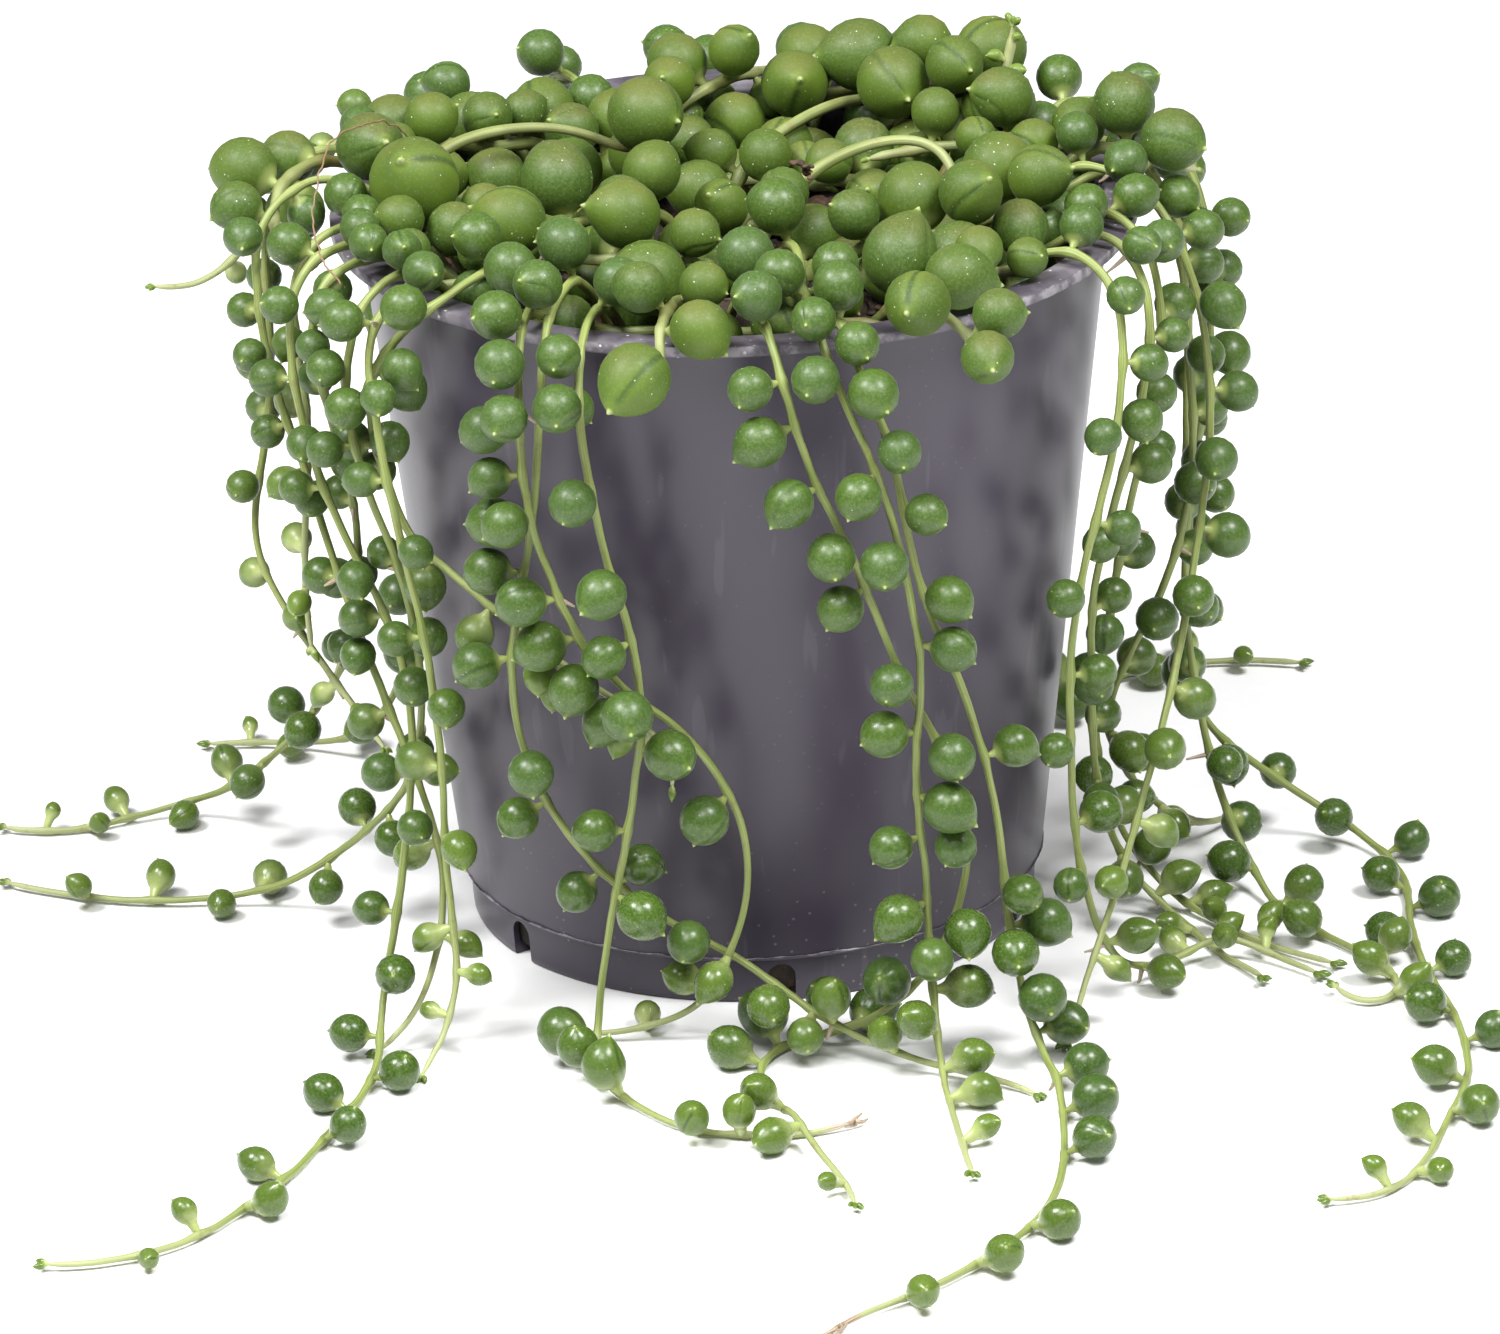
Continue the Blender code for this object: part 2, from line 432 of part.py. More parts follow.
def settle(stems, rounds=240):
    """Moves all stem points and leaves, round by round, until none crowds another, the pot or the soil.

    Stem points keep their pitch and leaves their reach, and both are drawn back to where they were placed.
    Returns the balls that stand for them, with each ball's radius, stem number and index along the stem,
    which is -1 for a leaf.
    """
    points, radii, owner, index, links = [], [], [], [], []
    chains = []
    for number, stem in enumerate(stems):
        start = len(points)
        points.extend(stem["path"])
        radii.extend([STEM_R] * len(stem["path"]))
        owner.extend([number] * len(stem["path"]))
        index.extend(range(len(stem["path"])))
        chains.append((start, start + len(stem["path"])))
        for node, radius, way in stem["grown"]:
            reach = radius + PETIOLE + STEM_R
            links.append((start + node, len(points), reach))
            points.append(stem["path"][node] + way * reach)
            radii.append(radius)
            owner.append(number)
            index.append(-1)
    points, radii = np.array(points), np.array(radii)
    owner, index = np.array(owner), np.array(index)
    home = points.copy()
    is_stem = index >= 0
    margin = np.where(is_stem, STEM_MARGIN, 0.0)
    thick = radii + margin
    roots = np.array([start for start, _ in chains])
    stem_of, leaf_of = np.array([k[0] for k in links]), np.array([k[1] for k in links])
    reach = np.array([k[2] for k in links])
    heads = np.concatenate([np.arange(a, b - 1) for a, b in chains])
    pitch = np.concatenate([[stem["pitch"]] * (b - a - 1) for stem, (a, b) in zip(stems, chains)])
    middles = np.concatenate([np.arange(a + 1, b - 1) for a, b in chains])
    pull = np.where(is_stem, STEM_PULL, LEAF_PULL)
    pull[roots] = ROOT_PULL
    for turn in range(rounds):
        if turn % 8 == 0:
            one, two = near_pairs(points, thick, owner, index, 2.5)
        points += (home - points) * pull[:, None]
        points[middles] += SMOOTHING * (0.5 * (points[middles - 1] + points[middles + 1]) - points[middles])
        for a, b, length, share in ((heads, heads + 1, pitch, 0.5), (stem_of, leaf_of, reach, 0.8)):
            gap = points[b] - points[a]
            size = np.maximum(np.linalg.norm(gap, axis=1), 1e-6)
            move = gap * (0.5 * (size - length) / size)[:, None]
            np.add.at(points, b, -move * share)
            np.add.at(points, a, move * (1.0 - share))
        gap = points[two] - points[one]
        size = np.maximum(np.linalg.norm(gap, axis=1), 1e-6)
        short = np.maximum(thick[one] + thick[two] + CLEARANCE - size, 0.0)
        move = gap * (0.4 * short / size)[:, None]
        np.add.at(points, two, move)
        np.add.at(points, one, -move)
        keep_off_pot(points, radii, margin)
        seat_roots(points, roots)
    for stem, (a, b) in zip(stems, chains):
        stem["path"] = points[a:b]
        count = len(stem["grown"])
        stem["centres"] = points[b:b + count]
        stem["radii"] = radii[b:b + count].copy()
    return points, radii, owner, index


def trim_leaves(stems, points, radii, owner, index):
    """Shrinks the few leaves that still crowd a neighbour, so that every gap stays open."""
    one, two = near_pairs(points, radii, owner, index, LEAST_GAP)
    for _ in range(3):
        gap = np.linalg.norm(points[two] - points[one], axis=1) - radii[one] - radii[two]
        for a, b, short in zip(one, two, LEAST_GAP - gap):
            leaves = [k for k in (a, b) if index[k] < 0]
            if short > 0.0 and owner[a] != owner[b]:
                for k in leaves:
                    radii[k] -= short / len(leaves)
    at = 0
    for stem in stems:
        at += len(stem["path"])
        stem["radii"] = radii[at:at + len(stem["grown"])].copy()
        at += len(stem["grown"])


def is_clear(ball, radius, points, sizes):
    """Whether a ball is clear of the pot and of all these balls."""
    place = np.array([[math.hypot(ball[0], ball[1]), ball[2]]])
    wall = min(np.linalg.norm(place - nearest_on_segment(place, a, b)) for a, b in pot_lines()) - 0.5 * WALL
    return min(wall, np.min(np.linalg.norm(points - ball, axis=1) - sizes)) > radius + LEAST_GAP


def solid_balls(stem):
    """Balls that fill the stem and its leaves, and, leaf by leaf, those along the leaf's stalk."""
    path, centres = stem["path"], stem["centres"]
    stretch = np.concatenate([path, 0.5 * (path[1:] + path[:-1])])
    feet = path[[node for node, _, _ in stem["grown"]]]
    ways = (centres - feet) / np.linalg.norm(centres - feet, axis=1)[:, None]
    reach, radius = np.array(STALK_BALLS).T
    stalks = feet[:, None] + reach[:, None] * ways[:, None]
    points = np.concatenate([stretch, centres, stalks.reshape(-1, 3)])
    sizes = np.concatenate([np.full(len(stretch), STEM_R), stem["radii"], np.tile(radius, len(feet))])
    return points, sizes, stalks


def drop_crossed_leaves(stems):
    """Removes the leaves that have shrunk away, and those whose stalk crosses another stem, a leaf or the pot."""
    bodies = [solid_balls(stem) for stem in stems]
    for number, stem in enumerate(stems):
        others = bodies[:number] + bodies[number + 1:]
        points = np.concatenate([body[0] for body in others])
        sizes = np.concatenate([body[1] for body in others])
        kept = []
        for leaf, stalk in enumerate(bodies[number][2]):
            clear = all(is_clear(ball, radius, points, sizes) for ball, (_, radius) in zip(stalk, STALK_BALLS))
            if clear and stem["radii"][leaf] > SMALLEST_LEAF:
                kept.append(leaf)
        stem["grown"] = [stem["grown"][leaf] for leaf in kept]
        stem["centres"] = stem["centres"][kept]
        stem["radii"] = stem["radii"][kept]
        bodies[number] = solid_balls(stem)


def grow_plant():
    """All the stems, grown and settled, with their paths, leaf centres and leaf radii in millimetres."""
    rng = np.random.default_rng(7)
    stems = []
    for crown, group in ((False, TRAILING), (True, CROWN)):
        for number, data in enumerate(group, start=1):
            stem = dict(data, crown=crown)
            stem["name"] = f"{'crown' if crown else 'trailing'}_stem_{number:02d}"
            path = smooth_curve(np.array(stem["route"], float), STEM_STEP)
            path[0, 2] = soil_height(np.hypot(path[0, 0], path[0, 1])) + STEM_R + LEAST_GAP
            stem["path"] = path
            stem["pitch"] = np.linalg.norm(np.diff(path, axis=0), axis=1).mean()
            stem["grown"] = place_leaves(stem, rng)
            stems.append(stem)
    trim_leaves(stems, *settle(stems))
    drop_crossed_leaves(stems)
    return stems


# --- Solids ---------------------------------------------------------------------------------------------------

def material(name, colour, roughness):
    made = bpy.data.materials.new(name)
    made.use_nodes = True
    shader = made.node_tree.nodes["Principled BSDF"]
    shader.inputs["Base Color"].default_value = (*colour, 1.0)
    shader.inputs["Roughness"].default_value = roughness
    shader.inputs["Metallic"].default_value = 0.0
    return made


def add_object(name, mesh, paint):
    mesh.materials.append(paint)
    made = bpy.data.objects.new(name, mesh)
    bpy.context.scene.collection.objects.link(made)
    return made


def as_cutter(made):
    """Marks a helper that only another object's modifier uses."""
    made.hide_render = True
    made.display_type = "WIRE"
    return made


def boolean(target, tool, operation):
    modifier = target.modifiers.new(tool.name, "BOOLEAN")
    modifier.operation = operation
    modifier.solver = "EXACT"
    modifier.object = tool


def turned(name, profile, segments, paint):
    """A solid turned round Z from a profile of (radius, height) points whose two ends lie on the axis."""
    bm = bmesh.new()
    rings = []
    for radius, height in profile:
        if radius == 0.0:
            rings.append([bm.verts.new((0.0, 0.0, height * MM))])
            continue
        turn = [2.0 * math.pi * k / segments for k in range(segments)]
        rings.append([bm.verts.new((radius * MM * math.cos(t), radius * MM * math.sin(t), height * MM))
                      for t in turn])
    for low, high in zip(rings, rings[1:]):
        for k in range(segments):
            n = (k + 1) % segments
            corners = [low[k % len(low)], low[n % len(low)], high[n % len(high)], high[k % len(high)]]
            bm.faces.new(dict.fromkeys(corners))
    bmesh.ops.recalc_face_normals(bm, faces=bm.faces)
    mesh = bpy.data.meshes.new(name)
    bm.to_mesh(mesh)
    bm.free()
    mesh.shade_smooth()
    mesh.set_sharp_from_angle(angle=math.radians(30.0))
    return add_object(name, mesh, paint)


def make_pot():
    """The thin-walled pot: foot, ledge, tapered wall and flat rim with a small lip that turns down."""
    inner_foot = FOOT_R - WALL
    profile = [
        (0.0, 0.0), (FOOT_R, 0.0), (FOOT_TOP_R, FOOT_TOP_Z), (LEDGE_R, LEDGE_Z - EDGE_BREAK), (LEDGE_R, LEDGE_Z),
        (WALL_TOP_R, RIM_TOP - RIM_THICK), (RIM_R - LIP_THICK, RIM_TOP - RIM_THICK),
        (RIM_R - LIP_THICK, RIM_TOP - RIM_THICK - LIP_DROP), (RIM_R, RIM_TOP - RIM_THICK - LIP_DROP),
        (RIM_R, RIM_TOP - EDGE_BREAK), (RIM_R - EDGE_BREAK, RIM_TOP), (WALL_TOP_R - WALL + EDGE_BREAK, RIM_TOP),
        (WALL_TOP_R - WALL, RIM_TOP - EDGE_BREAK), (LEDGE_R - WALL, LEDGE_Z + EDGE_BREAK),
        (FOOT_TOP_R - WALL, FOOT_TOP_Z), (inner_foot, FLOOR_THICK), (0.0, FLOOR_THICK)]
    pot = turned("nursery_pot", profile, POT_SEGMENTS, material("pot_plastic", POT_GREY, 0.35))
    for number in range(SLOT_COUNT):
        boolean(pot, drain_slot_cutter(number), "DIFFERENCE")
    return pot


def drain_slot_cutter(number):
    """A round-topped cutter across the foot's edge, so that the slot opens below and at the side."""
    half = 0.5 * SLOT_WIDTH
    arch = [math.pi * k / 8 for k in range(9)]
    outline = [(-half, -1.0), (half, -1.0)]
    outline += [(half * math.cos(t), SLOT_TOP - half + half * math.sin(t)) for t in arch]
    bm = bmesh.new()
    near, far = FOOT_R - SLOT_REACH, FOOT_R + 3.0
    ends = [[bm.verts.new((x * MM, y * MM, z * MM)) for y, z in outline] for x in (near, far)]
    bm.faces.new(ends[0])
    bm.faces.new(ends[1])
    for k in range(len(outline)):
        n = (k + 1) % len(outline)
        bm.faces.new([ends[0][k], ends[0][n], ends[1][n], ends[1][k]])
    bmesh.ops.recalc_face_normals(bm, faces=bm.faces)
    mesh = bpy.data.meshes.new(f"slot_cutter_{number}")
    bm.to_mesh(mesh)
    bm.free()
    cutter = as_cutter(add_object(mesh.name, mesh, material("cutter", POT_GREY, 0.5)))
    cutter.rotation_euler.z = FIRST_SLOT + 2.0 * math.pi * number / SLOT_COUNT
    return cutter


def make_soil():
    """The plug of potting mix: it stands clear of the pot's inside by the usual small gap."""
    foot = FOOT_R - WALL - SOIL_GAP
    ledge = LEDGE_R - WALL - SOIL_GAP
    slope = (WALL_TOP_R - LEDGE_R) / (RIM_TOP - LEDGE_Z)
    edge = ledge + slope * (SOIL_EDGE_Z - LEDGE_Z)
    profile = [(0.0, FLOOR_THICK + SOIL_GAP), (foot, FLOOR_THICK + SOIL_GAP), (foot + 0.4, FOOT_TOP_Z),
               (ledge, LEDGE_Z + 0.4), (edge, SOIL_EDGE_Z - 0.6)]
    profile += [(r, float(soil_height(r))) for r in (50.0, 38.0, 20.0, 0.0)]
    return turned("potting_mix", profile, SOIL_SEGMENTS, material("potting_mix", SOIL_BROWN, 0.95))


def ring(bm, centre, facing, other, radius, turns):
    """Vertices round centre, at these angles from facing towards other."""
    return [bm.verts.new((centre + radius * (math.cos(t) * facing + math.sin(t) * other)) * MM) for t in turns]


def stem_rings(stem):
    """The tube's rings: centre, tangent, the way that the middle of its first side faces, radius and leaf.

    A leaf has two rings close together, and grows from the side between them.
    """
    path, pitch = stem["path"], stem["pitch"]
    leaf_at = {node: number for number, (node, _, _) in enumerate(stem["grown"])}
    facing = np.array([0.3, 0.9, 0.2])
    rings = []
    for k in few_points(path, leaf_at, STEM_BEND_ERROR):
        tangent = unit(path[min(k + 1, len(path) - 1)] - path[max(k - 1, 0)])
        radius = STEM_R * min(1.0, 0.6 + 0.4 * (len(path) - 1 - k) * pitch / 25.0)
        leaf = leaf_at.get(k)
        if leaf is not None:
            facing = stem["centres"][leaf] - path[k]
        facing = unit(facing - tangent * (facing @ tangent))
        if leaf is None:
            rings.append((path[k], tangent, facing, radius, None))
            continue
        rings.append((path[k] - tangent * 0.5 * PETIOLE_WIDTH, tangent, facing, radius, leaf))
        rings.append((path[k] + tangent * 0.5 * PETIOLE_WIDTH, tangent, facing, radius, None))
    return rings


def least_twist(low, high):
    """How far to turn ring high's vertices so that each faces its own in ring low."""
    def spread(shift):
        return sum((a.co - high[(k + shift) % len(high)].co).length for k, a in enumerate(low))
    return min(range(len(high)), key=spread)


def add_leaf(bm, seat, centre, radius):
    """A faceted pearl that grows from the four vertices of its seat and ends in a point."""
    corners = [np.array(v.co) / MM for v in seat]
    axis = unit(centre - sum(corners) / 4)
    side = corners[1] + corners[2] - corners[0] - corners[3]
    side = unit(side - axis * (side @ axis))
    other = np.cross(axis, side)
    if (corners[2] + corners[3] - corners[0] - corners[1]) @ other < 0.0:
        other = -other
    rise = LEAF_RING_RISE * radius
    width = math.sqrt(radius**2 - rise**2)
    quarter = [math.radians(225.0 + 90.0 * k) for k in range(4)]
    low = ring(bm, centre - axis * rise, side, other, width, quarter)
    high = ring(bm, centre + axis * rise, side, other, width, [t + math.radians(45.0) for t in quarter])
    tip = bm.verts.new((centre + axis * radius) * MM)
    for k in range(4):
        n = (k + 1) % 4
        bm.faces.new([seat[k], seat[n], low[n], low[k]])
        bm.faces.new([low[k], low[n], high[k]])
        bm.faces.new([low[n], high[n], high[k]])
        bm.faces.new([high[k], high[n], tip])


def make_stem(stem):
    """One rooted stem with all its leaves, as one solid: a tapering tube, and a leaf out of each seat on it."""
    turns = [2.0 * math.pi * (k - 0.5) / STEM_SIDES for k in range(STEM_SIDES)]
    bm = bmesh.new()
    low, leaf = None, None
    for centre, tangent, facing, radius, next_leaf in stem_rings(stem):
        high = ring(bm, centre, facing, np.cross(tangent, facing), radius, turns)
        if low is None:
            bm.faces.new(high)
        else:
            shift = least_twist(low, high)
            turned_high = high[shift:] + high[:shift]
            for k in range(STEM_SIDES):
                n = (k + 1) % STEM_SIDES
                seat = [low[k], low[n], turned_high[n], turned_high[k]]
                if leaf is not None and k == 0:
                    add_leaf(bm, seat, stem["centres"][leaf], stem["radii"][leaf])
                else:
                    bm.faces.new(seat)
        low, leaf = high, next_leaf
    bm.faces.new(low)
    bmesh.ops.recalc_face_normals(bm, faces=bm.faces)
    mesh = bpy.data.meshes.new(stem["name"])
    bm.to_mesh(mesh)
    bm.free()
    return add_object(stem["name"], mesh, material(stem["name"], LEAF_GREEN, 0.4))


def main():
    for old in list(bpy.data.objects):
        bpy.data.objects.remove(old)
    make_pot()
    make_soil()
    for stem in grow_plant():
        make_stem(stem)


main()
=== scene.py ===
"""Looks of the potted string of pearls: a trailing succulent in a round 12 cm nursery pot.

The plant is grown by the same rules, from the same routes, as its solids, so that every pearl lies where its
solid is. Lengths are millimetres, and become metres where a mesh is made.
"""

import math

import bmesh
import bpy
import numpy as np
from mathutils import Matrix, Vector, noise

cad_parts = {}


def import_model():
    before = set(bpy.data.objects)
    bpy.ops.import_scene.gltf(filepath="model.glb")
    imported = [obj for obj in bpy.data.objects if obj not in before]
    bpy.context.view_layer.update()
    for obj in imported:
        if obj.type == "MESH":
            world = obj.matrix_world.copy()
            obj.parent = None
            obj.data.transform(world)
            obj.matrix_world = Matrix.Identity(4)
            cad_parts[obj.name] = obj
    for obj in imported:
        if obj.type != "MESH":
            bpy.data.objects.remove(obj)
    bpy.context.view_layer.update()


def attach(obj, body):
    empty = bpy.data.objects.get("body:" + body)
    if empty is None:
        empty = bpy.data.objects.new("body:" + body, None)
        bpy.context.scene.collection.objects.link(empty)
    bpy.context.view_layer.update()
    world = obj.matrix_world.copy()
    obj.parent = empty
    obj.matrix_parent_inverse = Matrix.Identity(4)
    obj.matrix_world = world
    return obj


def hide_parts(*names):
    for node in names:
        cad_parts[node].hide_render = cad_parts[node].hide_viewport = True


MM = 0.001
PLANT_SEED = 7
LOOKS_SEED = 11

# Pot, turned round Z
RIM_R = 60.0
RIM_TOP = 110.8
RIM_THICK = 0.9
LIP_DROP = 0.8
LIP_THICK = 0.8
WALL_TOP_R = 55.8
LEDGE_R = 44.0
LEDGE_Z = 7.65
FOOT_TOP_R = 43.0
FOOT_R = 42.6
FOOT_TOP_Z = 6.9
WALL = 0.9
FLOOR_THICK = 1.4
EDGE_BREAK = 0.3
POT_SIDES = 160
POT_SWAY = 0.18
RIM_RAGGED = 0.28
RAGGED_SCALE = 14
FLASH_FINE_SCALE = 9
FLASH_COARSE_SCALE = 5
SHARP_ANGLE = math.radians(50.0)
FLASH_HEIGHT = 0.4
FLASH_SIDES = 720
SLOT_COUNT = 6
SLOT_WIDTH = 4.2
SLOT_TOP = 6.2
SLOT_REACH = 6.0
SLOT_OUT = 3.0
SLOT_DOWN = 1.0
SLOT_ARC_POINTS = 15
FIRST_SLOT = math.radians(-85.0)

# Potting mix, a plug that fills the pot and is domed on top, with crumbs, and the remains of a leaf
SOIL_EDGE_Z = 97.0
SOIL_DOME = 4.0
SOIL_DOME_R = 55.0
SOIL_GAP = 0.35
SOIL_SIDES = 120
SOIL_LUMPS = 1.3
CRUMB_COUNT = 380
CRUMBS_R = 51.0
CRUMB_SIZES = (0.6, 1.5)
CHIP_SIZES = (1.5, 3.2)
CRUMB_SHARE = 0.7
CHIP_WIDTHS = (0.45, 0.9)
CHIP_HEIGHTS = (0.2, 0.6)
CHIP_LUMPS = 0.35
CHIP_TILT = 0.35
DEBRIS_COUNT = 9
DEBRIS_PLACE = (11.0, -7.5, 119.0)
DEBRIS_SPREAD = 0.7
DEBRIS_SIZES = (0.4, 1.1)

# Stems and leaves. A zone is a length along the stem, from its root or its tip.
STEM_R = 0.9
STEM_STEP = 3.5
ROUTE_PARTS = 24
PETIOLE = 1.0
STALK_BALLS = ((1.2, 1.0), (2.0, 1.3), (2.8, 1.7))
TIP_ZONE = 45.0
TIP_CROWDING = 0.75
SMALLEST_LEAF = 1.3
LEAF_SIZE = 0.91
LEAF_SPREAD = 0.1
OLD_ZONE = 40.0
OLD_SWELL = 0.22
BUD_ZONE = 26.0
BUD_SHARE = 0.45
CROWN_EVEN = 0.86
CROWN_SPREAD = 0.24
CROWN_SPACING = 7.6
TRAILING_SPACING = 11.0
LEAST_TIP = 3.0
WAY_SPREAD = 0.16
WAY_OUT = 0.35
WAY_ASIDE = {"f": 0.2, "u": 0.3}
SPACING_RANGE = (0.8, 1.2)

# Where a stem lies on the surface, and where it lies on the soil or the rim
LYING_Z = 6.0
LYING_LEAF_Z = 12.0
OVER_RIM_Z = 111.0
OVER_RIM_R = 61.0
INSIDE_POT_Z = 80.0

# Settling: rounds, gaps, and the share of its way that a point goes in a round: home, towards a smooth stem,
# or apart
ROUNDS = 240
TRIM_ROUNDS = 3
PAIRS_EVERY = 8
PAIR_REACH = 2.5
NEAR_ALONG = 3
CLEARANCE = 0.6
LEAST_GAP = 0.35
SURFACE_GAP = 0.05
STEM_MARGIN = 0.6
STEM_PULL = 0.02
LEAF_PULL = 0.004
ROOT_PULL = 0.2
SMOOTHING = 0.12
LINK_FORCE = 0.5
LEAF_SHARE = 0.8
PUSH_FORCE = 0.8

# Visible stems, finer than the solids
FINE_PARTS = 4
STALK_R = 0.56
STALK_SIDES = 10
STALK_WAVER = 0.05
WAVER_LENGTH = 5.3
STALK_RIDGE = 0.07
RIDGES = 5.0
ROOT_STALK = 0.35
CROWN_STALK = 1.45
PATH_EASING = 0.25
LOWERED_BELOW = 3.0
LOWERED_ZONE = 1.5
NODE_KINK = 0.25
NODE_ZONE = 3.0
NODE_SWELL = 0.32
SWELL_ZONE = 1.3
CREAM_ZONE = 45.0
BROWN_ZONE = 30.0
THINNING = 0.2
THINNING_ZONE = 60.0
THICK_ROOT_ZONE = 35.0
POINT_ZONE = 2.5
POINTED_END = 0.02
TORN_END = 0.6
STUB_R = 0.48
STUB_SIDES = 6
STUB_CHANCE = 0.16
STUB_TAPER = 0.35
STUB_POINTS = 5
STUB_DROOP = 1.2
STUB_SLANT = 0.7
STUB_BEND = 0.5
TORN_FIBRES = 3
STUB_LENGTHS = (1.5, 3.0)
STUB_WORN = 0.65
DRIED_TIPS = ("trailing_stem_01", "trailing_stem_06")
DRIED_LENGTH = 6.0
THREAD_R = 0.14
THREAD_STEP = 0.8
THREAD_WAVER = 0.5
THREAD_ROUTE = [
    (-46, -4, 122), (-50, -9, 128), (-54, -15, 130), (-58, -21, 130), (-60, -27, 127), (-61, -32, 122),
    (-60, -37, 118), (-57, -41, 115)]
SPRIG_STEP = 1.2
SPRIG_ROUTE = [(37, 22, 112), (40, 24, 118), (42, 25, 124), (42.5, 25, 128.5)]
SPRIG_LEAVES = ((0.55, 1.3, (0.8, -0.4, 0.6)), (0.7, 1.1, (-0.8, -0.3, 0.7)), (0.85, 0.8, (0.4, -0.2, 1.0)))

# Pearls, as shares of the radius or radians. BIG_LEAF, YOUNG_ZONE and BUD_RADII are lengths. Rings crowd at
# the tip and the neck, columns at the window.
PEARL_RINGS = (0.03, 0.06, 0.1, 0.17, 0.26, 0.38, 0.56, 0.78, 1.02, 1.28, 1.54, 1.8, 2.05, 2.28, 2.48, 2.64,
               2.77, 2.87, 2.95, 3.02, 3.08)
WINDOW_COLUMNS = (0.0, 0.07, 0.18)
WINDOW_EDGE = 0.42
BIG_LEAF = 4.0
BIG_COLUMNS = 23
SMALL_COLUMNS = 15
MUCRO = 0.13
MUCRO_WIDTH = 0.06
LEAST_POINT = 0.03
MOST_POINT = 0.32
YOUNG_POINT = 0.22
CROWN_POINT = 0.06
GROOVE = 0.03
GROOVE_WIDTH = 0.012
GROOVE_ENDS = (0.1, 2.75)
GROOVE_FADES = (0.3, 0.4)
NECK_BELOW = 0.03
YOUNG_NECK_BELOW = 0.2
NECK_BELOW_WIDTH = 0.7
POINT_WIDTH = 0.5
POINT_POWER = 1.3
NECK_WIDTH = 0.12
YOUNG_NECK_WIDTH = 0.16
NECK_SHIFT = 0.12
NECK_SHRINK = 0.1
YOUNG_ZONE = 55.0
YOUNG_FROM = 1.15
YOUNG_STRETCH = 0.2
WINDOW_UP = 0.7
LEAN_RANGE = (0.15, 0.5)
LEAN_SPREAD = 0.5
LEAN_POWER = 1.5
POINT_SKEW = 1.7
BUD_STRETCH = 1.8
BUD_RADII = (0.4, 0.65)
BUD_SPREADS = (0.0, 0.7, -0.7)

# Where pearls get painted shade, glossier and duller, in metres above the surface, and how much duller
PAINTED_SHADE_BELOW = 0.03
SHINY_BELOW = 0.015
DULL_ABOVE = 0.1
DULLER = 0.2

# Colours, linear RGB
GREEN_HANGING = (0.056, 0.104, 0.01, 1.0)
GREEN_HANGING_DARK = (0.035, 0.075, 0.007, 1.0)
GREEN_BLUISH = (0.035, 0.076, 0.014, 1.0)
GREEN_CROWN = (0.094, 0.156, 0.005, 1.0)
GREEN_CROWN_DARK = (0.046, 0.086, 0.003, 1.0)
GREEN_YOUNG = (0.145, 0.218, 0.024, 1.0)
BLUSH = (0.105, 0.085, 0.025, 1.0)
BLOOM = (0.11, 0.155, 0.055, 1.0)
# The window's dark colour, also laid as painted shade on pearls near the surface
WINDOW_AND_SHADE = (0.012, 0.035, 0.006, 1.0)
NECK = (0.27, 0.32, 0.1, 1.0)
YOUNG_NECK = (0.38, 0.44, 0.17, 1.0)
MUCRO_COLOUR = (0.34, 0.38, 0.17, 1.0)
PORES = (0.17, 0.235, 0.075, 1.0)
DUST = (0.75, 0.76, 0.68, 1.0)
STALK_GREEN = (0.14, 0.19, 0.04, 1.0)
STALK_PALE = (0.25, 0.29, 0.09, 1.0)
STALK_CREAM = (0.37, 0.39, 0.2, 1.0)
STALK_OLIVE = (0.12, 0.137, 0.034, 1.0)
STALK_BROWN = (0.2, 0.12, 0.05, 1.0)
DRY_DARK = (0.19, 0.115, 0.06, 1.0)
DRY_PALE = (0.56, 0.5, 0.4, 1.0)
POT_DARK = (0.032, 0.024, 0.04, 1.0)
POT_LIGHT = (0.043, 0.033, 0.053, 1.0)
POT_SCRATCH = (0.3, 0.28, 0.32, 1.0)
POT_DUST = (0.26, 0.24, 0.26, 1.0)
FLASH_PALE = (0.42, 0.39, 0.43, 1.0)
SOIL_DARK = (0.012, 0.008, 0.005, 1.0)
SOIL_MID = (0.05, 0.03, 0.018, 1.0)
SOIL_FIBRE = (0.16, 0.1, 0.055, 1.0)
BARK = (0.11, 0.05, 0.03, 1.0)
PAPER_GREY = (0.86, 0.86, 0.865, 1.0)
PAPER_WHITE = (0.9, 0.9, 0.9, 1.0)

# Half the floor's width, the lens and the sensor, in millimetres
FLOOR_HALF = 4000.0
LENS = 250.0
SENSOR_WIDTH = 36.0

# Camera and light, in metres and radians: for each light its direction, distance, size and power
NEAR_CLIP = 0.05
CAMERA_DISTANCE = 1.572
CAMERA_ELEVATION = math.radians(22.677)
CAMERA_ROLL = math.radians(-1.669)
CAMERA_TARGET = (0.000376, 0.0, 0.036173)
LIT_POINT = (0.0, 0.0, 0.06)
WORLD_LIGHT = 0.27
LIGHTS = (
    ("left_softbox", (-0.525, -0.232, 0.818), 0.9, 0.27, 9.9),
    ("right_softbox", (0.45, -0.32, 0.84), 0.9, 0.27, 9.5),
    ("front_softbox", (-0.16, -0.6, 0.78), 0.9, 0.36, 5.4),
)

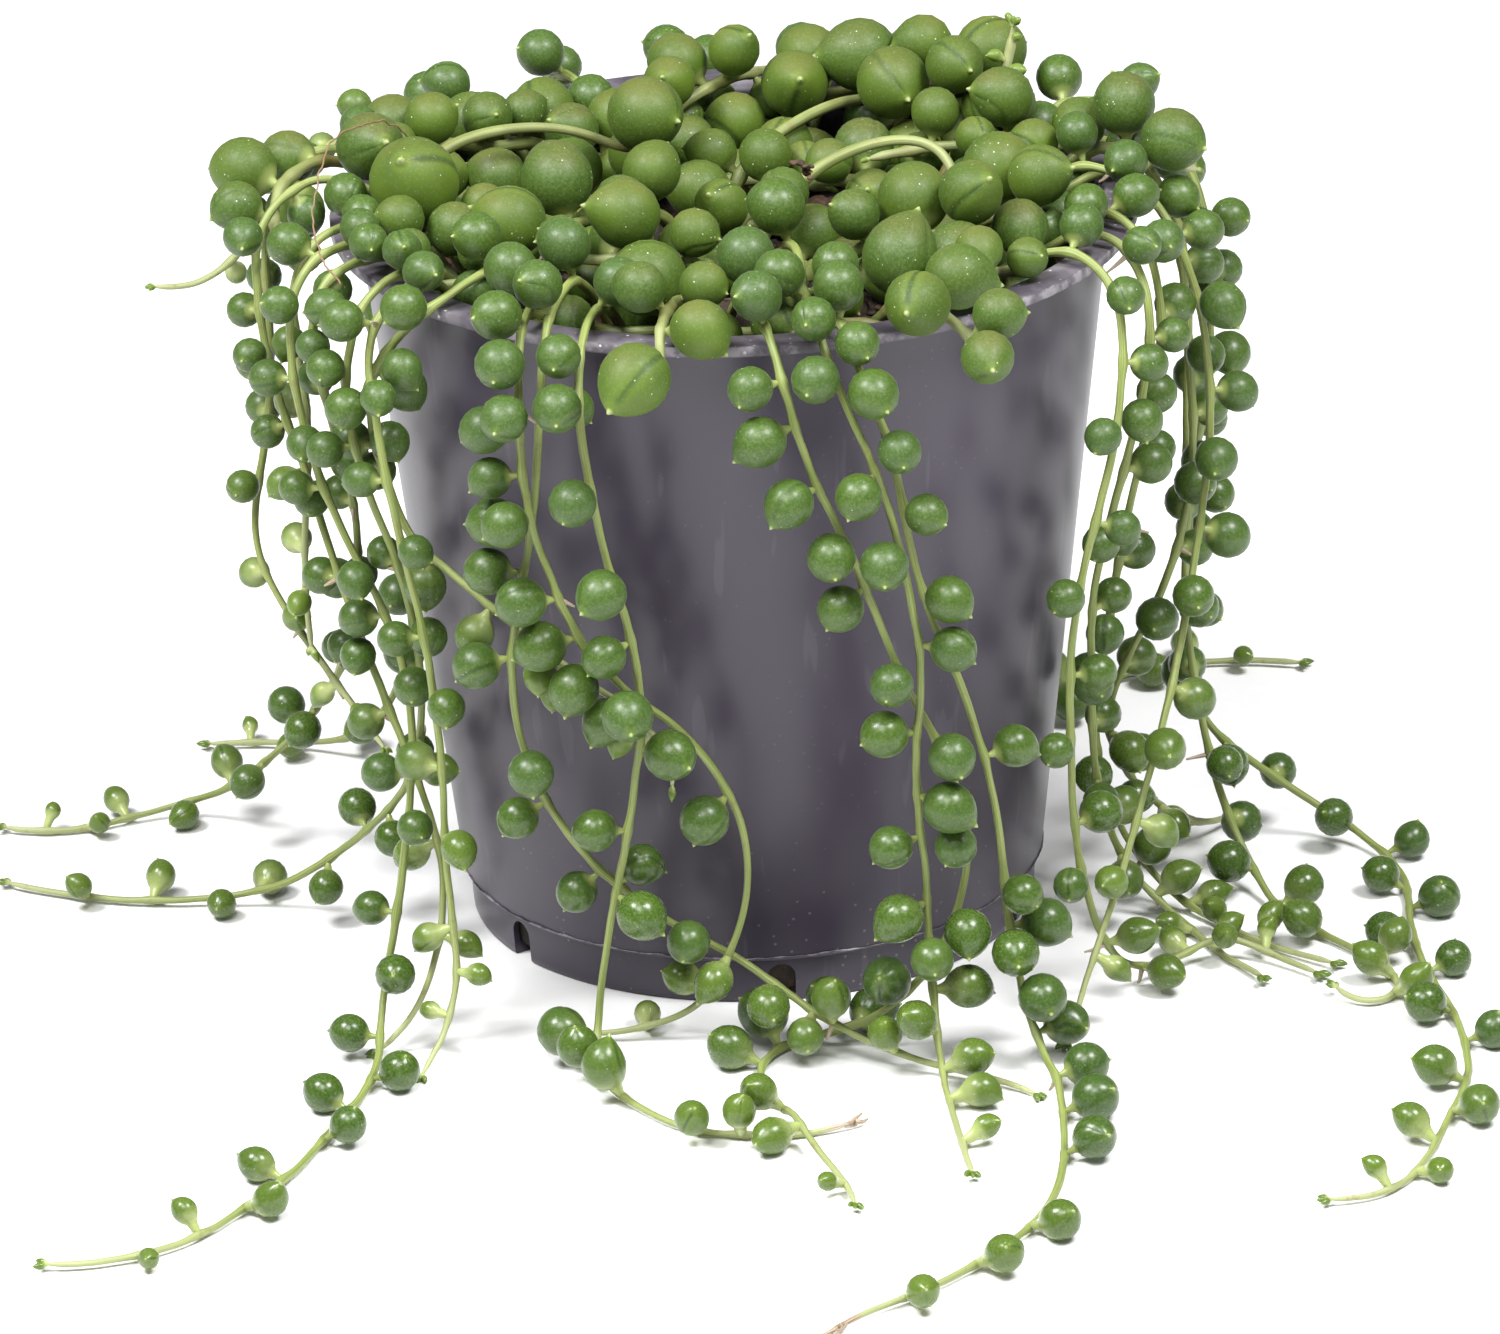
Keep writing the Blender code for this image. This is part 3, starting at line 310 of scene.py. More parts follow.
# Each stem starts in the soil and its points run to its tip. For each point of a stem whose leaves are set
# one by one, a letter says which way the leaf there grows: l left, r right, f forward, u up, or . for none.
# first and last are the leaf radii at the rim and near the tip.
TRAILING = [
    # Front, right of the middle
    dict(first=3.7, last=2.3, leaves=".lfffffff...r.frffrrrr.r.r.r...", route=[
        (10, -30, 101), (11, -42, 114), (12, -50, 116), (14, -57, 114), (16, -62, 112), (18, -65, 106),
        (22, -65, 97), (23, -64, 86), (25, -64, 74), (28, -64, 66), (31, -64, 60), (33, -63, 52),
        (35, -62, 46), (36, -62, 37), (37, -61, 27), (37, -62, 21), (38, -62, 17), (39, -65, 10),
        (41, -66, 4), (43, -75, 2), (44, -86, 1.6), (44, -100, 1.6), (42, -115, 1.6), (39, -124, 1.6),
        (34, -131, 1.6), (30, -136, 1.6), (25, -142, 1.6), (20, -146, 1.6), (15, -148, 1.5), (12, -150, 1.5),
        (10, -154, 1.5)]),
    dict(first=3.8, last=2.0, leaves=".ufrl..l.l.r.lrl.lfrfrrr.", route=[
        (4, -16, 101), (8, -30, 117), (10, -52, 116), (11, -61, 113), (13, -65, 109), (16, -67, 101),
        (18, -67, 97), (20, -67, 93), (22, -67, 86), (23, -67, 80), (24, -67, 74), (26, -67, 68),
        (25, -67, 60), (24, -66, 53), (24, -66, 44), (24, -65, 37), (25, -65, 32), (25, -65, 27),
        (25, -66, 18), (26, -66, 10), (26, -69, 6), (27, -75, 1.8), (28, -83, 1.6), (29, -94, 1.6),
        (30, -106, 1.5)]),
    dict(first=3.8, last=2.1, leaves=".ff.ll.l.fl.f.l.l..f.l.lu.fl.fl.l..", route=[
        (-2, -30, 101), (1, -46, 115), (4, -58, 114), (5, -64, 112), (6, -67, 107), (7, -67, 101),
        (8, -67, 97), (10, -67, 91), (13, -66, 86), (15, -66, 81), (17, -66, 75), (20, -66, 67),
        (22, -66, 61), (25, -65, 54), (28, -64, 50), (30, -64, 43), (32, -63, 37), (32, -62, 31),
        (31, -61, 24), (30, -61, 20), (27, -62, 14), (23, -62, 10), (19, -61, 6), (15, -59, 3),
        (10, -57, 1.7), (5, -57, 1.6), (1, -60, 1.6), (-1, -67, 1.6), (0, -76, 1.6), (2, -86, 1.6),
        (5, -93, 1.6), (10, -103, 1.6), (12, -108, 1.5), (14, -112, 1.5), (13, -115, 1.5)]),
    # Front, left of the middle
    dict(first=3.7, last=1.9, leaves=".uf.r..ll.l..rl.lr.f.fuu.u....", route=[
        (-18, -26, 101), (-23, -38, 115), (-28, -52, 114), (-29, -57, 112), (-28, -61, 106), (-29, -60, 95),
        (-30, -60, 89), (-31, -60, 83), (-32, -60, 78), (-34, -59, 69), (-34, -59, 62), (-35, -59, 56),
        (-34, -58, 50), (-33, -58, 46), (-30, -58, 38), (-27, -58, 33), (-24, -57, 29), (-20, -57, 26),
        (-16, -58, 22), (-8, -58, 17), (-2, -59, 13), (3, -60, 10), (7, -62, 7), (11, -64, 5), (15, -66, 4),
        (20, -68, 2.5), (25, -70, 1.8), (29, -71, 1.6), (35, -74, 1.5), (42, -78, 1.5)]),
    dict(first=3.7, last=1.6, leaves=".lfffllf.llll....l....ll..l...", route=[
        (-24, -26, 101), (-28, -44, 115), (-31, -55, 113), (-32, -62, 110), (-32, -63, 104), (-32, -63, 99),
        (-33, -63, 94), (-31, -64, 88), (-31, -64, 83), (-28, -64, 74), (-26, -63, 68), (-23, -63, 63),
        (-17, -62, 57), (-14, -62, 54), (-9, -61, 52), (-7, -61, 50), (-5, -61, 46), (-3, -61, 42),
        (0, -60, 35), (0, -60, 29), (0, -60, 25), (-1, -60, 21), (-3, -59, 16), (-6, -58, 9), (-8, -56, 5),
        (-12, -54, 1.8), (-17, -54, 1.6), (-21, -56, 1.6), (-25, -56, 1.5), (-29, -54, 1.5)]),
    dict(first=3.8, last=2.2, leaves=".rff.f.f.l.lr.l.r..fu.u.u.u...", route=[
        (-16, -28, 101), (-20, -48, 114), (-23, -60, 112), (-24, -65, 106), (-23, -66, 98), (-22, -66, 93),
        (-21, -66, 85), (-20, -66, 79), (-18, -66, 74), (-16, -65, 67), (-16, -64, 60), (-16, -64, 56),
        (-16, -63, 50), (-17, -63, 44), (-18, -62, 38), (-19, -62, 31), (-20, -62, 27), (-22, -62, 16),
        (-24, -62, 9), (-25, -63, 4), (-25, -69, 1.8), (-23, -74, 1.6), (-20, -77, 1.6), (-15, -85, 1.6),
        (-11, -90, 1.6), (-6, -91, 1.6), (-2, -91, 1.6), (5, -91, 1.6), (10, -91, 1.5), (13, -88, 1.5)]),
    dict(first=3.5, last=1.7, leaves=".ff.rrrrllfff..lfl..ll...", route=[
        (-30, -20, 101), (-36, -34, 114), (-44, -45, 112), (-49, -44, 109), (-52, -42, 105), (-54, -41, 102),
        (-56, -40, 98), (-56, -41, 93), (-55, -41, 88), (-54, -42, 85), (-51, -43, 81), (-49, -45, 78),
        (-46, -46, 74), (-43, -48, 72), (-39, -51, 69), (-36, -53, 68), (-31, -56, 63), (-27, -59, 61),
        (-23, -61, 57), (-19, -61, 56), (-15, -62, 54), (-12, -62, 51), (-10, -62, 50), (-8, -62, 48),
        (-11, -62, 46)]),
    # Left side
    dict(first=3.1, last=1.6, route=[
        (-40, 2, 101), (-48, 0, 112), (-57, -2, 118), (-64, -5, 119), (-69, -9, 116), (-71, -12, 110),
        (-71, -14, 103), (-70, -16, 92), (-66, -19, 84), (-63, -23, 73), (-59, -28, 60), (-53, -35, 45),
        (-48, -41, 35), (-45, -47, 24), (-45, -51, 17), (-47, -55, 11), (-51, -58, 4), (-56, -58, 1.6)]),
    dict(first=3.1, last=1.6, route=[
        (-40, -12, 101), (-48, -15, 112), (-56, -20, 115), (-62, -25, 115), (-66, -28, 110), (-66, -29, 101),
        (-65, -30, 92), (-62, -32, 80), (-57, -35, 69), (-52, -38, 61), (-49, -41, 52), (-50, -46, 36),
        (-53, -50, 18), (-55, -52, 8), (-55, -56, 2.5), (-55, -64, 1.6), (-58, -75, 1.6), (-62, -84, 1.6),
        (-65, -95, 1.6), (-71, -106, 1.6), (-79, -119, 1.6), (-87, -126, 1.6), (-94, -128, 1.5),
        (-101, -127, 1.5)]),
    dict(first=3.1, last=2.0, route=[
        (-42, 18, 101), (-52, 19, 114), (-62, 17, 117), (-69, 13, 113), (-71, 10, 103), (-70, 8, 93),
        (-70, 6, 81), (-72, 4, 70), (-75, 2, 61), (-74, 0, 55), (-69, -4, 49), (-64, -8, 42), (-58, -15, 36),
        (-54, -20, 33)]),
    dict(first=3.1, last=1.8, route=[
        (-38, -19, 101), (-46, -22, 112), (-55, -28, 115), (-61, -32, 113), (-63, -34, 108), (-62, -33, 101),
        (-60, -29, 90), (-58, -24, 79), (-57, -19, 68), (-58, -12, 54), (-59, -4, 44), (-63, 5, 33),
        (-70, 16, 20), (-78, 26, 9), (-86, 34, 2), (-93, 33, 1.6), (-99, 29, 1.6), (-106, 25, 1.5),
        (-112, 26, 1.5), (-115, 28, 1.5)]),
    dict(first=3.1, last=1.9, route=[
        (-37, -22, 101), (-45, -28, 112), (-53, -34, 114), (-57, -38, 109), (-57, -41, 100), (-54, -43, 88),
        (-51, -43, 75), (-49, -39, 64), (-48, -33, 47), (-50, -22, 29), (-55, -15, 20), (-61, -10, 13),
        (-67, -5, 6), (-73, -2, 2), (-80, -2, 1.6), (-88, -2, 1.6), (-96, -1, 1.6), (-102, 0, 1.5),
        (-108, 4, 1.5), (-114, 7, 1.5)]),
    dict(first=3.1, last=1.7, route=[
        (-34, -26, 101), (-43, -33, 112), (-51, -40, 113), (-54, -44, 108), (-54, -47, 98), (-51, -50, 85),
        (-48, -51, 70), (-46, -52, 58), (-45, -52, 45), (-45, -53, 34), (-45, -54, 23), (-43, -57, 14),
        (-44, -60, 7), (-47, -62, 2), (-49, -66, 1.5)]),
    dict(first=3.1, last=2.3, route=[
        (-44, -4, 101), (-52, -8, 112), (-59, -14, 115), (-64, -19, 113), (-66, -20, 106), (-65, -19, 97),
        (-64, -17, 84), (-65, -15, 70), (-66, -13, 56), (-65, -12, 46)]),
    dict(first=2.9, last=1.5, route=[
        (-38, 26, 101), (-47, 28, 113), (-58, 29, 115), (-68, 26, 106), (-72, 23, 99), (-77, 21, 93),
        (-82, 20, 91), (-87, 19, 93)]),
    # Right side
    dict(first=3.5, last=1.9, route=[
        (36, 6, 101), (44, 4, 113), (53, 1, 117), (60, -4, 115), (65, -10, 110), (68, -13, 102),
        (70, -15, 90), (70, -17, 78), (68, -21, 66), (65, -28, 53), (62, -36, 42), (58, -43, 32),
        (54, -50, 21), (50, -55, 12), (47, -59, 5), (45, -63, 1.6)]),
    dict(first=3.2, last=1.9, route=[
        (38, -6, 101), (48, -9, 112), (57, -16, 114), (62, -21, 109), (63, -23, 101), (62, -23, 92),
        (60, -22, 80), (57, -20, 68), (55, -17, 55), (53, -14, 41), (51, -11, 29), (53, -9, 19), (57, -8, 9),
        (61, -9, 2.5), (67, -16, 1.6), (74, -27, 1.6), (80, -33, 1.6), (86, -37, 1.5)]),
    dict(first=3.3, last=2.6, route=[
        (40, 18, 101), (49, 19, 112), (57, 17, 114), (64, 13, 109), (68, 10, 100), (68, 8, 88), (67, 6, 75),
        (67, 5, 59), (66, 3, 42), (68, 2, 28), (70, 1, 17), (73, -1, 7), (76, -8, 2), (80, -20, 1.6),
        (86, -28, 1.6), (92, -34, 1.6), (96, -42, 1.6), (95, -51, 1.6), (90, -54, 1.6), (87, -49, 1.6)]),
    dict(first=3.3, last=2.1, route=[
        (42, 6, 101), (50, 7, 112), (58, 5, 115), (64, 1, 110), (67, -3, 101), (67, -5, 90), (68, -6, 76),
        (67, -7, 63), (63, -9, 50), (58, -9, 42), (54, -8, 34), (53, -5, 26), (57, -1, 17), (62, 4, 9),
        (67, 9, 3), (72, 15, 1.6), (76, 21, 1.5)]),
    dict(first=3.3, last=2.1, route=[
        (36, 28, 101), (45, 32, 113), (54, 32, 116), (62, 29, 114), (69, 25, 107), (72, 22, 98), (72, 19, 84),
        (70, 18, 69), (68, 16, 53), (67, 14, 40), (66, 11, 28), (68, 10, 20), (75, 12, 14), (83, 13, 8),
        (90, 12, 3), (96, 6, 1.6), (99, -4, 1.6), (99, -14, 1.6), (98, -24, 1.6), (98, -34, 2.5),
        (100, -44, 1.8), (103, -58, 1.6), (104, -72, 1.6), (102, -84, 1.6), (98, -95, 1.6), (95, -107, 1.6),
        (91, -116, 1.5), (86, -119, 1.5), (81, -118, 1.5)]),
    dict(first=3.2, last=1.9, route=[
        (35, -14, 101), (46, -19, 112), (56, -24, 113), (61, -28, 108), (61, -31, 99), (58, -34, 86),
        (54, -33, 72), (51, -31, 60), (51, -28, 46), (51, -25, 33), (52, -21, 21), (55, -16, 11),
        (58, -13, 4), (62, -15, 1.6), (66, -23, 1.6), (70, -33, 1.5), (75, -41, 1.5)]),
    dict(first=3.2, last=1.9, route=[
        (32, -21, 101), (43, -27, 112), (53, -33, 113), (57, -37, 107), (56, -41, 97), (53, -46, 82),
        (48, -48, 66), (47, -47, 50), (47, -46, 35), (48, -47, 21), (51, -47, 10), (55, -44, 3),
        (60, -38, 1.6), (66, -32, 1.6), (72, -30, 1.5), (78, -33, 1.5), (83, -40, 1.5)]),
    # Back
    dict(first=3.8, last=1.9, route=[
        (22, 36, 101), (29, 46, 113), (35, 53, 114), (38, 58, 107), (39, 60, 94), (38, 60, 78), (37, 59, 60),
        (38, 57, 42), (41, 56, 26), (44, 58, 12), (47, 62, 3), (53, 70, 1.6), (60, 77, 1.6), (69, 81, 1.6),
        (79, 82, 1.6), (88, 79, 1.5)]),
    dict(first=3.8, last=2.0, route=[
        (10, 38, 101), (14, 49, 113), (17, 59, 114), (18, 65, 108), (18, 67, 96), (16, 67, 80), (13, 66, 64),
        (11, 65, 47), (12, 64, 30), (15, 64, 16), (18, 67, 5), (20, 74, 1.6), (19, 84, 1.6), (14, 92, 1.6),
        (6, 97, 1.5)]),
    dict(first=3.6, last=1.8, route=[
        (-2, 40, 101), (-5, 51, 113), (-7, 60, 113), (-8, 66, 107), (-8, 67, 95), (-6, 67, 80), (-4, 66, 63),
        (-5, 65, 47), (-8, 64, 32), (-10, 64, 20), (-11, 65, 11)]),
    dict(first=3.7, last=1.9, route=[
        (-16, 38, 101), (-22, 47, 113), (-27, 56, 114), (-30, 61, 108), (-31, 62, 97), (-30, 62, 82),
        (-28, 61, 66), (-28, 59, 48), (-31, 57, 31), (-34, 58, 16), (-37, 62, 5), (-41, 70, 1.6),
        (-44, 80, 1.6), (-43, 91, 1.6), (-37, 99, 1.5)]),
    dict(first=3.6, last=1.9, route=[
        (-28, 30, 101), (-38, 37, 113), (-46, 44, 114), (-50, 48, 107), (-51, 49, 95), (-50, 49, 79),
        (-48, 47, 61), (-48, 45, 43), (-51, 44, 27), (-55, 46, 13), (-60, 51, 4), (-67, 57, 1.6),
        (-76, 60, 1.6), (-85, 59, 1.5)]),
]

# Short stems that heap up over the soil, inside the rim
CROWN = [
    # Low, round the inside of the rim and over the middle
    dict(first=4.8, last=4.2, route=[
        (-38, -18, 100), (-32, -33, 106), (-14, -43, 107), (8, -46, 107), (26, -41, 107), (38, -30, 106)]),
    dict(first=5.0, last=4.4, route=[
        (28, -10, 100), (41, -8, 107), (43, 10, 107), (38, 25, 106), (24, 39, 106)]),
    dict(first=4.8, last=4.3, route=[
        (10, 28, 100), (-8, 43, 106), (-28, 37, 106), (-42, 22, 106), (-47, 4, 106)]),
    dict(first=4.8, last=4.4, route=[
        (-14, -5, 101), (-26, 8, 106), (-18, 22, 106), (0, 26, 106), (14, 18, 106)]),
    dict(first=4.8, last=4.4, route=[
        (6, -2, 101), (15, -16, 106), (2, -26, 106), (-14, -24, 106), (-22, -12, 106)]),
    dict(first=4.4, last=4.0, route=[
        (-6, 12, 101), (4, 6, 105), (14, 4, 106), (24, -2, 106), (28, 10, 106)]),
    dict(first=4.4, last=4.0, route=[
        (-30, -2, 100), (-36, 6, 105), (-32, 20, 106), (-20, 34, 106), (-4, 34, 106)]),
    dict(first=4.6, last=4.2, route=[
        (-4, -2, 101), (2, 6, 109), (10, 12, 111), (18, 12, 111), (24, 4, 111)]),
    # Out over the rim on the left, the right and at the back
    dict(first=4.9, last=4.6, route=[
        (-42, 12, 100), (-52, 12, 113), (-60, 8, 118), (-66, 2, 118), (-70, -6, 115), (-68, -14, 111)]),
    dict(first=5.0, last=4.4, route=[
        (40, 12, 100), (50, 8, 113), (58, 4, 117), (65, 0, 115), (68, 6, 112)]),
    dict(first=5.0, last=4.8, route=[
        (-14, 30, 100), (-12, 34, 112), (-6, 32, 116), (2, 40, 117), (8, 48, 115)]),
    # High, the arching stems on top
    dict(first=6.6, last=6.8, leaves=".l....f", route=[
        (-40, -8, 100), (-49, -5, 112), (-47, 0, 119), (-41, 4, 121), (-31, 9, 121), (-22, 13, 119),
        (-15, 14, 115)]),
    dict(first=5.2, last=4.8, leaves=".l....r", route=[
        (2, -6, 101), (6, -6, 113), (14, -3, 119), (25, 0, 121), (32, 1, 120), (35, -4, 116),
        (34, -10, 112)]),
    dict(first=5.4, last=5.2, leaves=".l..lr", route=[
        (-2, 10, 101), (0, 14, 112), (7, 20, 115), (16, 28, 117), (24, 35, 117), (31, 36, 114)]),
    dict(first=4.8, last=4.2, route=[
        (28, 16, 101), (36, 28, 111), (45, 22, 112), (42, 8, 114), (30, 12, 115), (20, 10, 114)]),
    dict(first=5.4, last=5.0, route=[
        (0, 34, 100), (6, 36, 110), (14, 44, 113), (26, 42, 115), (36, 33, 115), (30, 24, 117)]),
    dict(first=4.6, last=4.0, route=[
        (-20, 26, 100), (-26, 33, 111), (-38, 29, 112), (-49, 18, 112), (-54, 6, 112)]),
    dict(first=4.2, last=3.6, route=[
        (-28, -8, 101), (-38, -8, 112), (-49, -16, 112), (-46, -27, 111), (-34, -32, 111)]),
    dict(first=5.2, last=4.6, route=[
        (-8, 2, 101), (-10, -6, 113), (-22, -10, 113), (-30, -20, 113), (-20, -30, 113), (-5, -32, 114)]),
    dict(first=5.4, last=4.8, route=[
        (14, -14, 101), (18, -20, 112), (28, -25, 113), (38, -20, 114), (45, -9, 113)]),
    dict(first=5.2, last=4.8, route=[
        (20, -26, 100), (26, -36, 111), (34, -40, 112), (42, -32, 111)]),
    # Over the front of the rim
    dict(first=5.4, last=5.8, leaves=".lrlrf", route=[
        (-8, -20, 100), (-6, -36, 111), (-9, -46, 114), (-10, -55, 116), (-12, -62, 115), (-12, -67, 112)]),
    dict(first=5.0, last=5.2, leaves=".lrlrf", route=[
        (21, -40, 101), (23, -44, 111), (26, -49, 115), (29, -55, 116), (32, -60, 114), (34, -63, 111)]),
]


# --- Curves ---

def unit(v):
    return v / max(np.linalg.norm(v), 1e-9)


def steps_of(path):
    """The length of each step of a path."""
    return np.linalg.norm(np.diff(path, axis=0), axis=1)


def lengths_along(path):
    """The length along a path up to each of its points."""
    return np.concatenate([[0.0], np.cumsum(steps_of(path))])


def finer(path, parts):
    """A Catmull-Rom curve through all of the path's points, with so many parts for each step."""
    ends = np.vstack([2 * path[0] - path[1], path, 2 * path[-1] - path[-2]])
    t = np.linspace(0.0, 1.0, parts, endpoint=False)[None, :, None]
    a, b, c, d = (ends[k:len(ends) - 3 + k][:, None] for k in range(4))
    spans = 0.5 * (2 * b + (c - a) * t + (2 * a - 5 * b + 4 * c - d) * t**2 + (3 * b - a - 3 * c + d) * t**3)
    return np.vstack([spans.reshape(-1, 3), path[-1:]])


def smooth_curve(route, step):
    """Points about every step millimetres along a smooth curve through the route."""
    fine = finer(np.array(route, float), ROUTE_PARTS)
    along = lengths_along(fine)
    places = np.linspace(0.0, along[-1], max(3, round(along[-1] / step) + 1))
    return np.stack([np.interp(places, along, fine[:, k]) for k in range(3)], axis=1)


def outward(point):
    """Away from what a stem lies on: up over the soil and the surface, away from the axis beside the pot."""
    if point[2] < LYING_Z or (point[2] > OVER_RIM_Z and math.hypot(point[0], point[1]) < OVER_RIM_R):
        return np.array([0.0, 0.0, 1.0])
    return unit(np.array([point[0], point[1], 0.0]))


# --- Leaves ---

def leaf_direction(letter, side, out):
    """The way a leaf grows from its stem, for one of the letters above."""
    if letter in WAY_ASIDE:
        return unit(out + WAY_ASIDE[letter] * side)
    return unit(WAY_OUT * out + (side if letter == "l" else -side))


def leaf_radius(stem, from_root, to_tip, chance):
    """Leaves are full size up to the last stretch, where they shrink to buds. chance runs from -1 to 1."""
    young = min(1.0, to_tip / TIP_ZONE)
    full = stem["first"] + (stem["last"] - stem["first"]) * (1.0 - young)
    if stem["crown"]:
        return full * (CROWN_EVEN + CROWN_SPREAD * chance)
    old = 1.0 + OLD_SWELL * max(0.0, 1.0 - from_root / OLD_ZONE)
    bud = min(1.0, BUD_SHARE + to_tip / BUD_ZONE)
    return max(SMALLEST_LEAF, LEAF_SIZE * full * old * bud * (1.0 + LEAF_SPREAD * chance))


def chosen_leaves(stem):
    """The stem points that have a leaf, and each leaf's letter, where the leaves are set one by one."""
    route = np.array(stem["route"], float)
    return [(int(np.argmin(np.linalg.norm(stem["path"] - point, axis=1))), letter)
            for letter, point in zip(stem["leaves"], route) if letter != "."]


def spaced_leaves(stem, length, rng):
    """The same, for leaves that follow each other at nearly even steps, closer near the tip."""
    spacing, letters = (CROWN_SPACING, "lurf") if stem["crown"] else (TRAILING_SPACING, "lr")
    place, chosen = spacing, []
    while place < length - LEAST_TIP:
        chosen.append((int(round(place / stem["pitch"])), letters[len(chosen) % len(letters)]))
        crowding = TIP_CROWDING if length - place < TIP_ZONE / 2 else 1.0
        place += spacing * rng.uniform(*SPACING_RANGE) * crowding
    return chosen


def place_leaves(stem, rng):
    """The stem's leaves: for each, the index of its stem point, its radius and the way it grows."""
    path = stem["path"]
    along = np.arange(len(path)) * stem["pitch"]
    length = along[-1]
    leaves = []
    for index, letter in chosen_leaves(stem) if "leaves" in stem else spaced_leaves(stem, length, rng):
        index = min(max(index, 1), len(path) - 1)
        if index in [taken for taken, _, _ in leaves]:
            continue
        radius = leaf_radius(stem, along[index], length - along[index], rng.uniform(-1.0, 1.0))
        tangent = unit(path[min(index + 1, len(path) - 1)] - path[index - 1])
        out = outward(path[index])
        way = leaf_direction(letter, unit(np.cross(tangent, out)), out)
        leaves.append((index, radius, unit(way + rng.normal(0.0, WAY_SPREAD, 3))))
    return leaves


# --- Settling: leaves and stems push each other apart and off the pot, the soil and the surface ---

def nearest_on_segment(p, a, b):
    """The nearest point to each 2-D point p on the segment from a to b."""
    a, b = np.array(a), np.array(b)
    t = np.clip(((p - a) @ (b - a)) / ((b - a) @ (b - a)), 0.0, 1.0)
    return a + t[:, None] * (b - a)


def soil_height(radius):
    return SOIL_EDGE_Z + SOIL_DOME * np.clip(1.0 - (radius / SOIL_DOME_R) ** 2, 0.0, 1.0)


def pot_lines():
    """The middle of the pot's wall, and of its rim, as 2-D lines of radius and height."""
    half = 0.5 * WALL
    top = (WALL_TOP_R - half, RIM_TOP - half)
    return ((LEDGE_R - half, 0.0), top), (top, (RIM_R - half, RIM_TOP - half))


def keep_off_pot(points, radii, thick):
    """Moves the points, in place, off the pot's wall and rim, above the soil and above the surface."""
    flat = np.hypot(points[:, 0], points[:, 1])
    place = np.stack([flat, points[:, 2]], axis=1)
    for a, b in pot_lines():
        away = place - nearest_on_segment(place, a, b)
        gap = np.linalg.norm(away, axis=1)
        short = np.maximum(thick + 0.5 * WALL + CLEARANCE - gap, 0.0)
        place += away / np.maximum(gap, 1e-6)[:, None] * short[:, None]
    points[:, :2] *= (place[:, 0] / np.maximum(flat, 1e-6))[:, None]
    inside = (place[:, 0] < WALL_TOP_R) & (place[:, 1] > INSIDE_POT_Z)
    lowest = np.where(inside, soil_height(place[:, 0]) + radii + LEAST_GAP, radii + SURFACE_GAP)
    points[:, 2] = np.maximum(place[:, 1], lowest)


def near_pairs(points, radii, owner, index, reach):
    """Pairs of balls closer than reach, apart from neighbours along one stem."""
    first, second = [], []
    order = np.argsort(points[:, 0], kind="stable")
    x = points[order, 0]
    widest = radii.max()
    for rank, i in enumerate(order):
        end = np.searchsorted(x, x[rank] + radii[i] + widest + reach)
        others = order[rank + 1:end]
        gap = np.linalg.norm(points[others] - points[i], axis=1) - radii[others] - radii[i]
        others = others[gap < reach]
        along = (owner[others] == owner[i]) & (index[others] >= 0) & (index[i] >= 0)
        others = others[~(along & (np.abs(index[others] - index[i]) <= NEAR_ALONG))]
        first.append(np.full(len(others), i))
        second.append(others)
    return np.concatenate(first), np.concatenate(second)


def seat_roots(points, roots):
    """Slides the stems' first points, in place, up or down until their lower ends lie on the soil."""
    lean = points[roots + 1] - points[roots]
    steepness = lean[:, 2] / np.linalg.norm(lean, axis=1)
    soil = soil_height(np.hypot(points[roots, 0], points[roots, 1]))
    points[roots, 2] = soil + LEAST_GAP + STEM_R * np.sqrt(1.0 - steepness**2)


def space_pairs(points, a, b, wanted, force, share, only_apart=False):
    """Moves the points a and b, in place, towards the distance wanted. share is b's part of the way."""
    gap = points[b] - points[a]
    size = np.maximum(np.linalg.norm(gap, axis=1), 1e-6)
    short = np.maximum(wanted - size, 0.0) if only_apart else wanted - size
    move = gap * (force * short / size)[:, None]
    np.add.at(points, b, move * share)
    np.add.at(points, a, move * (share - 1.0))


